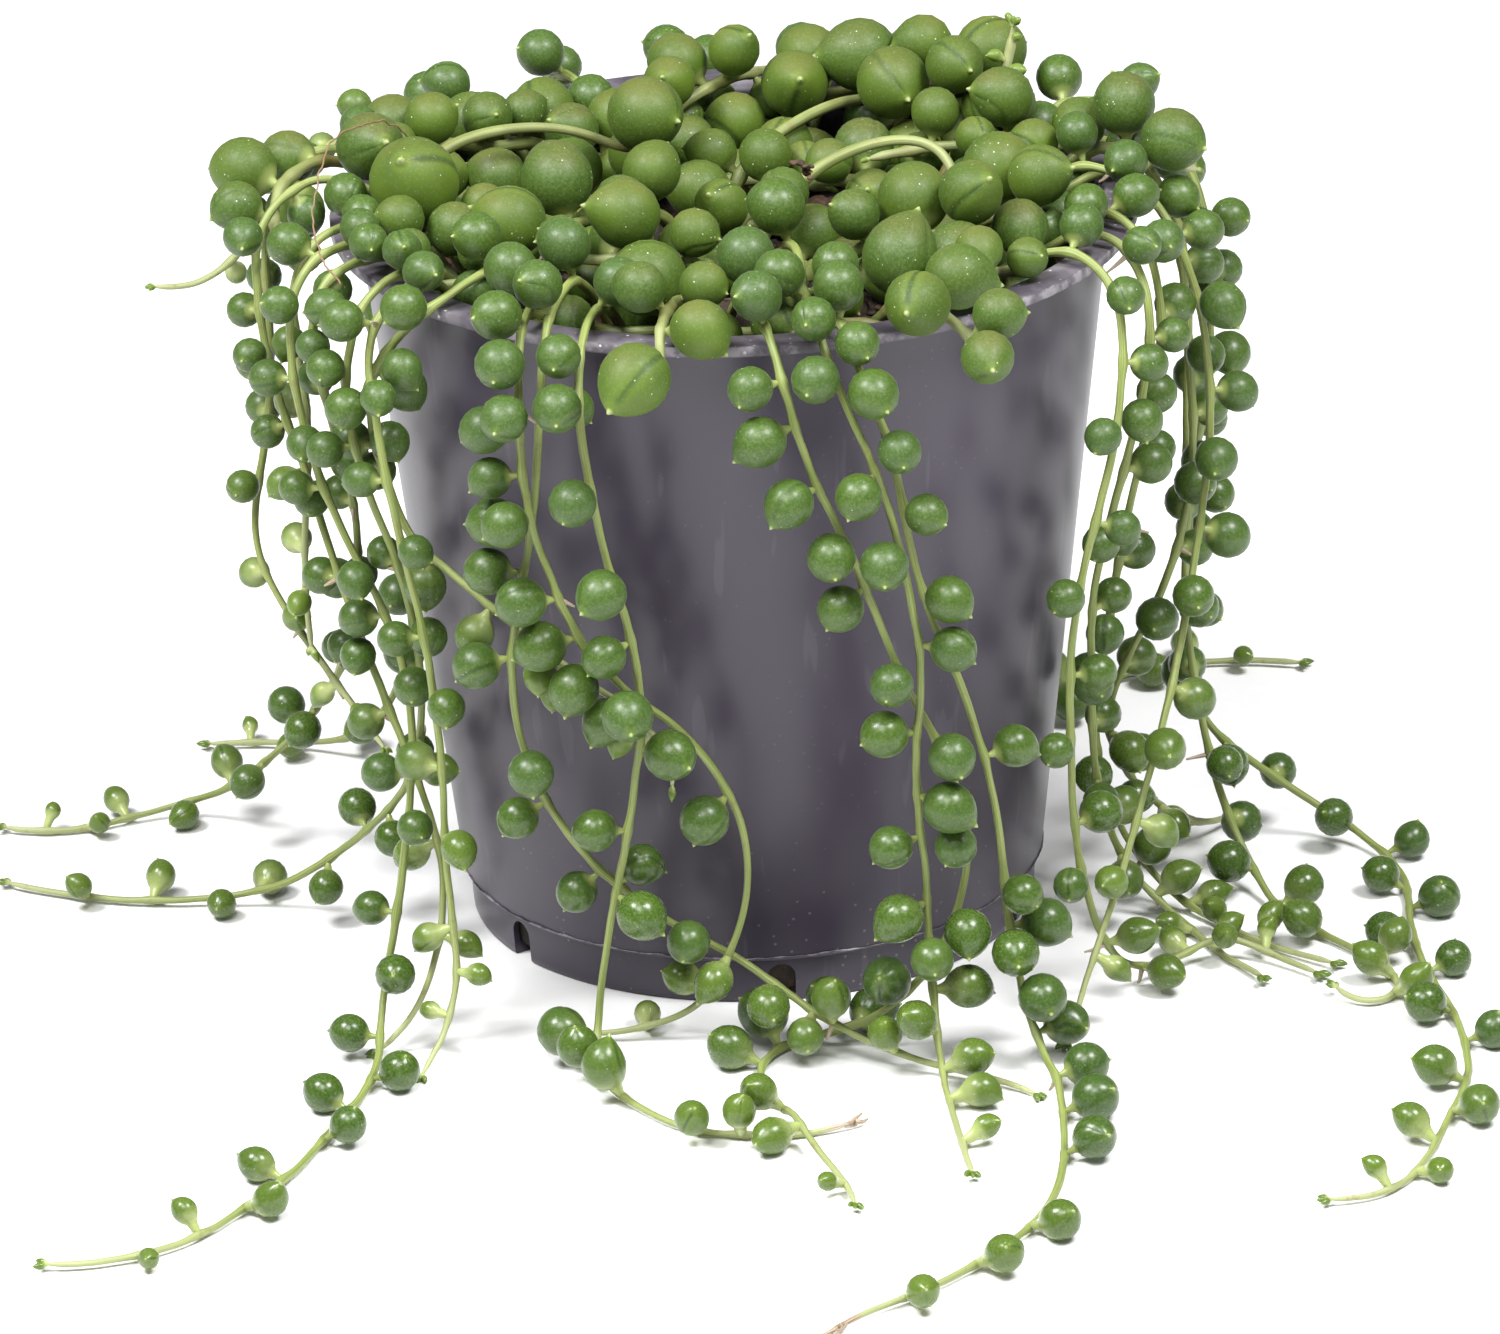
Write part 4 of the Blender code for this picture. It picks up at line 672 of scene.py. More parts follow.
def settle(stems):
    """Moves all stem points and leaves, round by round, until none crowds another, the pot or the soil.

    Stem points keep their pitch and leaves their reach, and both are drawn back to where they were placed.
    Each is a ball, with its radius, the number of its stem and its index along the stem, -1 for a leaf.
    """
    balls, links = [], []
    for number, stem in enumerate(stems):
        start = len(balls)
        balls += [(point, STEM_R, number, place) for place, point in enumerate(stem["path"])]
        for node, radius, way in stem["grown"]:
            reach = radius + PETIOLE + STEM_R
            links.append((start + node, len(balls), reach))
            balls.append((stem["path"][node] + way * reach, radius, number, -1))
    points, radii, owner, index = map(np.array, zip(*balls))
    stem_of, leaf_of, reach = map(np.array, zip(*links))
    home = points.copy()
    is_stem = index >= 0
    thick = radii + np.where(is_stem, STEM_MARGIN, 0.0)
    roots = np.flatnonzero(index == 0)
    heads = np.flatnonzero(index[1:] > 0)
    middles = heads[index[heads] > 0]
    pitch = np.array([stem["pitch"] for stem in stems])[owner[heads]]
    pull = np.where(is_stem, STEM_PULL, LEAF_PULL)
    pull[roots] = ROOT_PULL
    for turn in range(ROUNDS):
        if turn % PAIRS_EVERY == 0:
            one, two = near_pairs(points, thick, owner, index, PAIR_REACH)
        points += (home - points) * pull[:, None]
        points[middles] += SMOOTHING * (0.5 * (points[middles - 1] + points[middles + 1]) - points[middles])
        space_pairs(points, heads, heads + 1, pitch, LINK_FORCE, 0.5)
        space_pairs(points, stem_of, leaf_of, reach, LINK_FORCE, LEAF_SHARE)
        space_pairs(points, one, two, thick[one] + thick[two] + CLEARANCE, PUSH_FORCE, 0.5, True)
        keep_off_pot(points, radii, thick)
        seat_roots(points, roots)
    trim_leaves(points, radii, owner, index)
    for number, stem in enumerate(stems):
        leaves = (owner == number) & ~is_stem
        stem["path"], stem["centres"] = points[(owner == number) & is_stem], points[leaves]
        stem["radii"] = radii[leaves]


def trim_leaves(points, radii, owner, index):
    """Shrinks, in place, the few leaves that still crowd a neighbour, so that every gap stays open."""
    one, two = near_pairs(points, radii, owner, index, LEAST_GAP)
    for _ in range(TRIM_ROUNDS):
        gap = np.linalg.norm(points[two] - points[one], axis=1) - radii[one] - radii[two]
        for a, b, short in zip(one, two, LEAST_GAP - gap):
            leaves = [k for k in (a, b) if index[k] < 0]
            if short > 0.0 and owner[a] != owner[b]:
                for k in leaves:
                    radii[k] -= short / len(leaves)


def is_clear(ball, radius, points, sizes):
    """Whether a ball is clear of the pot and of all these balls."""
    place = np.array([[math.hypot(ball[0], ball[1]), ball[2]]])
    wall = min(np.linalg.norm(place - nearest_on_segment(place, a, b)) for a, b in pot_lines()) - 0.5 * WALL
    return min(wall, np.min(np.linalg.norm(points - ball, axis=1) - sizes)) > radius + LEAST_GAP


def solid_balls(stem):
    """Balls that fill the stem and its leaves, and, leaf by leaf, those along the leaf's stalk."""
    path, centres = stem["path"], stem["centres"]
    stretch = np.concatenate([path, 0.5 * (path[1:] + path[:-1])])
    feet = path[[node for node, _, _ in stem["grown"]]]
    ways = (centres - feet) / np.linalg.norm(centres - feet, axis=1)[:, None]
    reach, radius = np.array(STALK_BALLS).T
    stalks = feet[:, None] + reach[:, None] * ways[:, None]
    points = np.concatenate([stretch, centres, stalks.reshape(-1, 3)])
    sizes = np.concatenate([np.full(len(stretch), STEM_R), stem["radii"], np.tile(radius, len(feet))])
    return points, sizes, stalks


def drop_crossed_leaves(stems):
    """Removes leaves that have shrunk away, and those whose stalk crosses another stem, a leaf or the pot."""
    bodies = [solid_balls(stem) for stem in stems]
    for number, stem in enumerate(stems):
        others = bodies[:number] + bodies[number + 1:]
        points, sizes = (np.concatenate([body[k] for body in others]) for k in (0, 1))
        kept = []
        for leaf, stalk in enumerate(bodies[number][2]):
            balls = [(ball, radius) for ball, (_, radius) in zip(stalk, STALK_BALLS)]
            clear = all(is_clear(ball, radius, points, sizes) for ball, radius in balls)
            if clear and stem["radii"][leaf] > SMALLEST_LEAF:
                kept.append(leaf)
        stem["grown"] = [stem["grown"][leaf] for leaf in kept]
        stem["centres"], stem["radii"] = stem["centres"][kept], stem["radii"][kept]
        bodies[number] = solid_balls(stem)


def grow_plant():
    """All the stems, grown and settled, with their paths, leaf centres and leaf radii in millimetres."""
    rng = np.random.default_rng(PLANT_SEED)
    stems = []
    for kind, group in (("trailing", TRAILING), ("crown", CROWN)):
        for number, data in enumerate(group, start=1):
            path = smooth_curve(data["route"], STEM_STEP)
            path[0, 2] = soil_height(np.hypot(path[0, 0], path[0, 1])) + STEM_R + LEAST_GAP
            stem = dict(data, crown=kind == "crown", name=f"{kind}_stem_{number:02d}", path=path)
            stem["pitch"] = steps_of(path).mean()
            stem["grown"] = place_leaves(stem, rng)
            stems.append(stem)
    settle(stems)
    drop_crossed_leaves(stems)
    return stems


# --- Meshes: a body is its points in millimetres, its faces and, by attribute, a vector for each point ---

def link(made):
    bpy.context.scene.collection.objects.link(made)
    return made


def mesh_object(name, body, paint=None):
    """A smooth mesh of a body."""
    points, faces, values = body
    mesh = bpy.data.meshes.new(name)
    mesh.from_pydata((np.asarray(points) * MM).tolist(), [], faces)
    for key, vectors in values.items():
        layer = mesh.attributes.new(key, "FLOAT_VECTOR", "POINT")
        layer.data.foreach_set("vector", np.asarray(vectors, dtype=np.float32).ravel())
    if paint:
        mesh.materials.append(paint)
    mesh.shade_smooth()
    return link(bpy.data.objects.new(name, mesh))


def finish_piece(piece, node):
    """The piece takes the place of a solid of the frame."""
    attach(piece, "root")
    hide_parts(node)


def joined(bodies):
    """One body of several."""
    faces, count = [], 0
    for points, more, _ in bodies:
        faces += [tuple(k + count for k in face) for face in more]
        count += len(points)
    values = {key: np.concatenate([body[2][key] for body in bodies]) for key in bodies[0][2]}
    return np.concatenate([body[0] for body in bodies]), faces, values


def closed_rings(rings, columns, first, last):
    """The points and faces of rings of points, row after row, closed by a point at each end."""
    pairs = [(k, (k + 1) % columns) for k in range(columns)]
    top = len(rings) - columns
    faces = [(low + k, low + n, low + columns + n, low + columns + k) for low in range(0, top, columns)
             for k, n in pairs]
    faces += [(len(rings), n, k) for k, n in pairs]
    faces += [(len(rings) + 1, top + k, top + n) for k, n in pairs]
    return np.vstack([rings, [first], [last]]), faces


def circle(count):
    return 2.0 * math.pi * np.arange(count) / count


# --- Pearls ---

def turned_towards(vectors, axis_angle, amount):
    """Unit vectors leant by an angle each towards the direction axis_angle round +Z."""
    pivot = np.array([-math.sin(axis_angle), math.cos(axis_angle), 0.0])
    cos, sin = np.cos(amount)[..., None], np.sin(amount)[..., None]
    along = (vectors @ pivot)[..., None] * pivot
    return vectors * cos + np.cross(pivot, vectors) * sin + along * (1.0 - cos)


def hill(distance, width, power=2):
    """1 where the distance is 0, and 0 well outside the width."""
    return np.exp(-(distance / width) ** power)


def pearl(foot, centre, radius, frame, leaf, plain_columns):
    """One pearl's points and faces, and for each point its unit place on the pearl.

    frame holds the pearl's x, where its window is, its y, and its axis, from the foot outward. leaf holds its
    youth, how pointed it is, how far its outer half is stretched, its lean and the way it leans. The neck
    reaches to the foot, inside the stem.
    """
    youth, point, stretch, lean, lean_way = leaf
    centre = centre + frame[2] * radius * NECK_SHIFT * youth
    radius = radius * (1.0 - NECK_SHRINK * youth)
    plain = np.linspace(WINDOW_EDGE, 2.0 * math.pi - WINDOW_EDGE, plain_columns)
    around = np.concatenate([WINDOW_COLUMNS, plain, -np.array(WINDOW_COLUMNS[:0:-1])])
    tip, turn = np.meshgrid(PEARL_RINGS, around, indexing="ij")
    place = np.stack([np.sin(tip) * np.cos(turn), np.sin(tip) * np.sin(turn), np.cos(tip)], axis=-1)
    leaning = turned_towards(place, lean_way, lean * (0.5 + 0.5 * np.cos(tip)) ** LEAN_POWER)
    neck = np.linalg.norm(centre - foot) / radius - 1.0
    groove = np.exp(-((turn + math.pi) % (2.0 * math.pi) - math.pi) ** 2 / GROOVE_WIDTH)
    fade_in = np.clip((tip - GROOVE_ENDS[0]) / GROOVE_FADES[0], 0.0, 1.0)
    groove *= fade_in * np.clip((GROOVE_ENDS[1] - tip) / GROOVE_FADES[1], 0.0, 1.0)
    reach = (1.0 + point * hill(tip, POINT_WIDTH, POINT_POWER) + MUCRO * hill(tip, MUCRO_WIDTH)
             + neck * hill(math.pi - tip, NECK_WIDTH + YOUNG_NECK_WIDTH * youth)
             + (NECK_BELOW + YOUNG_NECK_BELOW * youth) * hill(math.pi - tip, NECK_BELOW_WIDTH)
             - GROOVE * groove)
    rings = (leaning * (radius * reach)[..., None]).reshape(-1, 3)
    up = np.array([[0.0, 0.0, 1.0]])
    tip_end = turned_towards(up, lean_way, np.array([lean]))[0] * radius * (1.0 + point + MUCRO)
    local, faces = closed_rings(rings, len(around), tip_end, (0.0, 0.0, -radius * (1.0 + neck)))
    local[:, 2] *= np.where(local[:, 2] > 0.0, stretch, 1.0)
    points = centre + local @ frame
    points[:, 2] = np.maximum(points[:, 2], SURFACE_GAP)
    return points, faces, np.concatenate([place.reshape(-1, 3), up, -up])


def pearl_leaves(stem, path, nodes, last, rng):
    """The stem's leaves and the buds at its tip: foot, centre, radius, youth and stretch of each."""
    leaves = []
    for (node, _, _), fine, centre, radius in zip(stem["grown"], nodes, stem["centres"], stem["radii"]):
        to_tip = (len(stem["path"]) - 1 - node) * stem["pitch"]
        youth = 0.0 if stem["crown"] else float(np.clip(YOUNG_FROM - to_tip / YOUNG_ZONE, 0.0, 1.0))
        leaves.append((path[fine], centre, radius, youth, 1.0 + YOUNG_STRETCH * youth * rng.uniform()))
    buds = BUD_SPREADS[:1] if stem["crown"] else BUD_SPREADS
    for spread in () if stem["name"] in DRIED_TIPS else buds:
        way = unit(last + spread * unit(np.cross(last, [0.2, 0.1, 1.0])))
        radius = rng.uniform(*BUD_RADII)
        leaves.append((path[-2], path[-2] + way * radius * 2.0, radius, 1.0, BUD_STRETCH))
    return leaves


def add_pearls(stem, path, nodes, paint, rng):
    """All the pearls of one stem, as one piece, with the buds at its tip."""
    last = unit(path[-1] - path[-3])
    crown = float(stem["crown"])
    bodies = []
    for foot, centre, radius, youth, stretch in pearl_leaves(stem, path, nodes, last, rng):
        axis = unit(centre - foot)
        down = np.array([0.0, 0.0, -1.0]) if foot[2] > LYING_LEAF_Z else last
        up = WINDOW_UP if crown else -WINDOW_UP
        side = unit(rng.normal(0.0, 1.0, 3) + np.array([0.0, 0.0, up]))
        x = unit(side - axis * (side @ axis))
        y = np.cross(axis, x)
        lean_way = math.atan2(down @ y, down @ x) + rng.normal(0.0, LEAN_SPREAD)
        lean = math.acos(np.clip(axis @ down, -1.0, 1.0)) * rng.uniform(*LEAN_RANGE)
        point = LEAST_POINT + (MOST_POINT - LEAST_POINT) * rng.uniform() ** POINT_SKEW
        point += YOUNG_POINT * youth + CROWN_POINT * crown
        leaf = (youth, point, stretch, lean, lean_way)
        plain_columns = BIG_COLUMNS if radius > BIG_LEAF else SMALL_COLUMNS
        points, faces, place = pearl(foot, centre, radius, np.stack([x, y, axis]), leaf, plain_columns)
        tone = np.tile([rng.uniform(), youth, crown], (len(points), 1))
        bodies.append((points, faces, {"place": place, "tone": tone}))
    piece = mesh_object(stem["name"] + "_pearls", joined(bodies), paint)
    finish_piece(piece, stem.get("node", stem["name"]))


# --- Stems ---

def visible_path(stem):
    """The stem's fine path, bent a little towards each leaf, and the fine index of each leaf's node.

    It is thinner than the solid, so where that lies on the surface it is lowered.
    """
    path = stem["path"].copy()
    path[1:-1] += PATH_EASING * (path[:-2] + path[2:] - 2.0 * path[1:-1])
    fine = finer(path, FINE_PARTS)
    nodes = [node * FINE_PARTS for node, _, _ in stem["grown"]]
    place = np.arange(len(fine)) * stem["pitch"] / FINE_PARTS
    for index, centre in zip(nodes, stem["centres"]):
        pull = hill(place - place[index], NODE_ZONE)
        fine += pull[:, None] * unit(centre - fine[index]) * NODE_KINK
    fine[:, 2] -= (STEM_R - STALK_R) * np.clip((LOWERED_BELOW - fine[:, 2]) / LOWERED_ZONE, 0.0, 1.0)
    fine[:, 2] = np.maximum(fine[:, 2], STALK_R + SURFACE_GAP)
    return fine, nodes


def tube(path, radii, sides, tone, worn, ridge=0.0):
    """A closed tube along a path, as a body. tone and worn are one vector, or one for each ring.

    Its place is the place round the tube and the length along it in centimetres.
    """
    tangents = np.gradient(path, axis=0)
    tangents /= np.linalg.norm(tangents, axis=1)[:, None]
    turn = circle(sides)
    across = np.stack([np.cos(turn), np.sin(turn)], axis=1)
    side = unit(np.cross(tangents[0], [0.3, 0.9, 0.2]))
    rings = []
    for centre, tangent, size in zip(path, tangents, radii):
        side = unit(side - tangent * (side @ tangent))
        ridged = size * (1.0 + ridge * np.cos(RIDGES * turn))
        rings.append(centre + ridged[:, None] * (across @ np.stack([side, np.cross(tangent, side)])))
    points, faces = closed_rings(np.concatenate(rings), sides, path[0], path[-1])

    def at_points(rows):
        rows = np.broadcast_to(rows, (len(path), 3))
        return np.vstack([np.repeat(rows, sides, axis=0), rows[:1], rows[-1:]])

    blank = np.zeros(len(path))
    place = at_points(np.stack([blank, blank, lengths_along(path) / 10.0], axis=1))
    place[:-2, :2] = np.tile(across, (len(path), 1))
    return points, faces, {"place": place, "tone": at_points(tone), "worn": at_points(worn)}


def add_stalk(stem, path, nodes, paint, rng):
    """The bare stem: a slightly ridged tube with swollen nodes and a pointed end, and its root stubs.

    The values are, in tone, a chance, how near the tip and how near the root it is, and, in worn, how dried
    up it is and whether it is a stem of the crown.
    """
    along = lengths_along(path)
    to_tip = along[-1] - along
    radius = STALK_R * (1.0 - THINNING + THINNING * np.clip(to_tip / THINNING_ZONE, 0.0, 1.0))
    radius = radius * (1.0 + ROOT_STALK * np.exp(-along / THICK_ROOT_ZONE))
    radius = radius * (CROWN_STALK if stem["crown"] else 1.0)
    radius = radius * (1.0 + STALK_WAVER * np.sin(along / WAVER_LENGTH + rng.uniform(0, 6)))
    for node in nodes:
        radius = radius * (1.0 + NODE_SWELL * hill(along - along[node], SWELL_ZONE))
    dried = stem["name"] in DRIED_TIPS
    radius = radius * np.sqrt(np.clip(to_tip / POINT_ZONE, TORN_END if dried else POINTED_END, 1.0))
    blank = np.zeros(len(path))
    near_tip = np.clip(1.0 - to_tip / CREAM_ZONE, 0.0, 1.0)
    near_root = np.clip(1.0 - along / BROWN_ZONE, 0.0, 1.0)
    worn = np.clip(1.0 - to_tip / DRIED_LENGTH, 0.0, 1.0) if dried else blank
    crown = float(stem["crown"])
    bodies = [tube(path, radius, STALK_SIDES, np.stack([blank, near_tip, near_root], axis=1),
                   np.stack([worn, blank + crown, blank], axis=1), STALK_RIDGE)]
    for stub in root_stubs(path, nodes if "node" not in stem else (), radius, dried, rng):
        sizes = np.linspace(STUB_R, STUB_TAPER * STUB_R, len(stub))
        bodies.append(tube(stub, sizes, STUB_SIDES, (0.0, 0.0, 0.0), (STUB_WORN, crown, 0.0)))
    body = joined(bodies)
    body[2]["tone"][:, 0] = rng.uniform()
    piece = mesh_object(stem["name"] + "_stalk", body, paint)
    finish_piece(piece, stem.get("node", stem["name"]))


def root_stubs(path, nodes, radius, dried, rng):
    """Paths of the short dry roots at some nodes of a long stem, and of the torn fibres of a dried tip."""
    starts = [(node, rng.uniform(*STUB_LENGTHS)) for node in nodes if rng.uniform() < STUB_CHANCE]
    if dried:
        starts += [(len(path) - 1 - k, rng.uniform(*STUB_LENGTHS)) for k in range(TORN_FIBRES)]
    stubs = []
    for node, length in starts:
        tangent = unit(path[min(node + 1, len(path) - 1)] - path[max(node - 1, 0)])
        way = unit(rng.normal(0.0, 1.0, 3) + np.array([0.0, 0.0, -STUB_DROOP]))
        at_end = node >= len(path) - 1 - TORN_FIBRES
        way = unit(tangent + STUB_SLANT * way if at_end else way - STUB_SLANT * tangent * (way @ tangent))
        bend = unit(np.cross(way, tangent)) * rng.uniform(-STUB_BEND, STUB_BEND)
        steps = np.linspace(0.0, 1.0, STUB_POINTS)[:, None]
        stub = path[node] + (way * steps + bend * steps**2) * (radius[node] + length)
        stub[:, 2] = np.maximum(stub[:, 2], STUB_R + SURFACE_GAP)
        stubs.append(stub)
    return stubs


def add_thread(paint):
    """One long dry root that loops over the leaves on the left."""
    path = smooth_curve(THREAD_ROUTE, THREAD_STEP)
    for k in range(len(path)):
        path[k] += [THREAD_WAVER * noise.noise(Vector((0.4 * k, 3.0 * axis, 0.0))) for axis in range(3)]
    body = tube(path, np.full(len(path), THREAD_R), STUB_SIDES, (0.5, 0.0, 1.0), (1.0, 0.0, 0.0))
    finish_piece(mesh_object("crown_root_thread", body, paint), "crown_stem_12")


def add_sprig(stalk, pearl_skin, rng):
    """A young shoot that stands up at the back right, with its first small leaves."""
    path = smooth_curve(SPRIG_ROUTE, SPRIG_STEP)
    grown = [(int(share * (len(path) - 1)), size, unit(np.array(way))) for share, size, way in SPRIG_LEAVES]
    sprig = {"name": "crown_sprig", "node": "crown_stem_15", "crown": False, "path": path, "grown": grown}
    sprig["pitch"] = steps_of(path).mean()
    sprig["centres"] = np.array([path[node] + way * (size + 1.2) for node, size, way in grown])
    sprig["radii"] = np.array([size for _, size, _ in grown])
    fine, nodes = visible_path(sprig)
    add_stalk(sprig, fine, nodes, stalk, rng)
    add_pearls(sprig, fine, nodes, pearl_skin, rng)


# --- Pot and soil ---

def turned_points(profile, sides):
    """The points of an outline of radius and height turned round Z, ring after ring."""
    turn = circle(sides)
    radius, height = np.array(profile).T[:, :, None]
    rings = [radius * np.cos(turn), radius * np.sin(turn), height + 0.0 * turn]
    return np.stack(rings, axis=-1).reshape(-1, 3)


def on_line(start, end, shares):
    """Points of an outline on the line from start to end."""
    return [(start[0] + (end[0] - start[0]) * t, start[1] + (end[1] - start[1]) * t) for t in shares]


def pot_profile():
    """The pot's outline, up the outside and down the inside. The floor and the underside close it."""
    top = RIM_TOP - RIM_THICK
    lip = RIM_R - LIP_THICK
    lip_end = top - LIP_DROP
    mouth = WALL_TOP_R - WALL
    foot = FOOT_R - WALL
    return [
        (FOOT_R - 1.2, 0.0), (FOOT_R - 0.3, 0.05), (FOOT_R, 0.4),
        *on_line((FOOT_R, 0.0), (FOOT_TOP_R, FOOT_TOP_Z), (0.2, 0.4, 0.6, 0.8, 1.0)),
        (LEDGE_R - 0.15, LEDGE_Z - EDGE_BREAK), (LEDGE_R, LEDGE_Z - 0.1), (LEDGE_R + 0.05, LEDGE_Z + 0.25),
        *on_line((LEDGE_R, LEDGE_Z), (WALL_TOP_R, top), np.linspace(0.02, 0.985, 22)),
        (WALL_TOP_R + 0.1, top - 0.25), (WALL_TOP_R + 0.6, top), (lip - 0.2, top), (lip, top - 0.2),
        (lip, lip_end), (RIM_R - 0.15, lip_end), (RIM_R, lip_end + 0.2), (RIM_R, RIM_TOP - 0.25),
        (RIM_R - 0.12, RIM_TOP - 0.04), (RIM_R - 0.5, RIM_TOP),
        (mouth + 2.2, RIM_TOP), (mouth + 0.5, RIM_TOP - 0.05), (mouth + 0.12, RIM_TOP - 0.3),
        *on_line((mouth, RIM_TOP - EDGE_BREAK), (LEDGE_R - WALL, LEDGE_Z - EDGE_BREAK),
                 np.linspace(0.015, 0.99, 12)),
        (FOOT_TOP_R - WALL, FOOT_TOP_Z), (foot, FLOOR_THICK + 0.6), (foot - 0.6, FLOOR_THICK),
    ]


def round_noise(angle, radius, height):
    """A place in a field of noise, on a circle, so that the noise runs on without a seam round the pot."""
    return Vector((radius * math.cos(angle), radius * math.sin(angle), height))


def add_pot(paint):
    """The thin moulded pot, with drain slots cut through the edge of its foot."""
    points = turned_points(pot_profile(), POT_SIDES)
    angle = np.arctan2(points[:, 1], points[:, 0])
    flat = np.hypot(points[:, 0], points[:, 1])
    high = points[:, 2] / RIM_TOP
    sway = POT_SWAY * high**2 * (np.sin(2 * angle + 0.6) + 0.5 * np.sin(3 * angle + 2.0))
    ragged = np.array([noise.noise(round_noise(a, RAGGED_SCALE, 3.0)) for a in angle])
    rim = np.clip((flat - RIM_R + 0.5) / 0.5, 0.0, 1.0) * (points[:, 2] > RIM_TOP - 2.0)
    flat_new = flat - 0.5 * np.abs(sway) - rim * RIM_RAGGED * np.abs(ragged)
    points[:, :2] *= (flat_new / flat)[:, None]
    body = closed_rings(points, POT_SIDES, (0.0, 0.0, 0.0), (0.0, 0.0, FLOOR_THICK))
    pot = mesh_object("pot_body", (*body, {}), paint)
    cutters = [slot_cutter(number) for number in range(SLOT_COUNT)]
    for cutter in cutters:
        modifier = pot.modifiers.new("slot", "BOOLEAN")
        modifier.object = cutter
        modifier.operation = "DIFFERENCE"
    cut = bpy.data.meshes.new_from_object(pot.evaluated_get(bpy.context.evaluated_depsgraph_get()))
    pot.modifiers.clear()
    pot.data = cut
    for cutter in cutters:
        bpy.data.objects.remove(cutter)
    cut.shade_smooth()
    cut.set_sharp_from_angle(angle=SHARP_ANGLE)
    finish_piece(pot, "nursery_pot")
    add_flash(flash_paint())


def slot_cutter(number):
    """A round-topped cutter across the edge of the foot."""
    half = 0.5 * SLOT_WIDTH
    outline = [(-half, -SLOT_DOWN), (half, -SLOT_DOWN)]
    turns = np.linspace(0.0, math.pi, SLOT_ARC_POINTS)
    outline += [(half * math.cos(t), SLOT_TOP - half + half * math.sin(t)) for t in turns]
    points = [(x, y, z) for x in (FOOT_R - SLOT_REACH, FOOT_R + SLOT_OUT) for y, z in outline]
    count = len(outline)
    faces = [tuple(reversed(range(count))), tuple(range(count, 2 * count))]
    faces += [(k, (k + 1) % count, count + (k + 1) % count, count + k) for k in range(count)]
    cutter = mesh_object("slot_cutter", (points, faces, {}))
    cutter.rotation_euler.z = FIRST_SLOT + 2.0 * math.pi * number / SLOT_COUNT
    bpy.context.view_layer.update()
    return cutter


def add_flash(paint):
    """The ragged line of flash that the mould left round the step above the foot."""
    points = []
    for a in circle(FLASH_SIDES):
        rough = noise.fractal(round_noise(a, FLASH_FINE_SCALE, 7.0), 0.6, 2.3, 5)
        coarse = noise.noise(round_noise(a, FLASH_COARSE_SCALE, 1.0))
        top = LEDGE_Z + FLASH_HEIGHT * min(1.6, max(0.1, 0.5 + 0.9 * rough + 0.5 * coarse))
        out = LEDGE_R + 0.1 + 0.3 * max(0.0, coarse) * (0.5 + abs(rough))
        for radius, z in ((LEDGE_R - 0.35, LEDGE_Z + 0.05), (out, LEDGE_Z + 0.02), (out + 0.12, top),
                          (out - 0.04, top + 0.02), (LEDGE_R - 0.3, LEDGE_Z + 0.35)):
            points.append((radius * math.cos(a), radius * math.sin(a), z))
    count = len(points)
    edges = count // FLASH_SIDES
    faces = [(k + j, (k + edges + j) % count, (k + edges + (j + 1) % edges) % count, k + (j + 1) % edges)
             for k in range(0, count, edges) for j in range(edges)]
    flash = mesh_object("pot_flash_line", (points, faces, {}), paint)
    finish_piece(flash, "nursery_pot")


def add_soil(paint, crumb_skin, rng):
    """The potting mix: a rough dome to the pot's wall, and the crumbs and chips of bark that lie on it."""
    ledge = LEDGE_R - WALL - SOIL_GAP
    edge = ledge + (WALL_TOP_R - LEDGE_R) / (RIM_TOP - LEDGE_Z) * (SOIL_EDGE_Z - LEDGE_Z)
    foot = FOOT_R - WALL - SOIL_GAP
    bottom = FLOOR_THICK + SOIL_GAP
    profile = [(foot, bottom), (foot + 0.4, FOOT_TOP_Z), (ledge, LEDGE_Z + 0.4)]
    profile += on_line((ledge, LEDGE_Z), (edge, SOIL_EDGE_Z), (0.3, 0.6, 0.9, 0.99))
    profile += [(r, float(soil_height(r))) for r in np.linspace(edge - 0.3, 1.5, 34)]
    points = turned_points(profile, SOIL_SIDES)
    bumpy = points[:, 2] > SOIL_EDGE_Z - 0.5
    points[bumpy, 2] += [SOIL_LUMPS * noise.fractal(Vector(p) * 0.3, 0.8, 2.2, 4) for p in points[bumpy]]
    body = closed_rings(points, SOIL_SIDES, (0.0, 0.0, bottom), (0.0, 0.0, SOIL_EDGE_Z + SOIL_DOME))
    finish_piece(mesh_object("potting_mix_body", (*body, {}), paint), "potting_mix")
    spots, sizes = [], []
    for _ in range(CRUMB_COUNT):
        radius, turn = CRUMBS_R * math.sqrt(rng.uniform()), rng.uniform(0.0, 2.0 * math.pi)
        spots.append(np.array([radius * math.cos(turn), radius * math.sin(turn), soil_height(radius) + 0.4]))
        sizes.append(rng.uniform(*(CRUMB_SIZES if rng.uniform() < CRUMB_SHARE else CHIP_SIZES)))
    crumbs = mesh_object("potting_mix_crumbs", chips(spots, sizes, rng), crumb_skin)
    finish_piece(crumbs, "potting_mix")


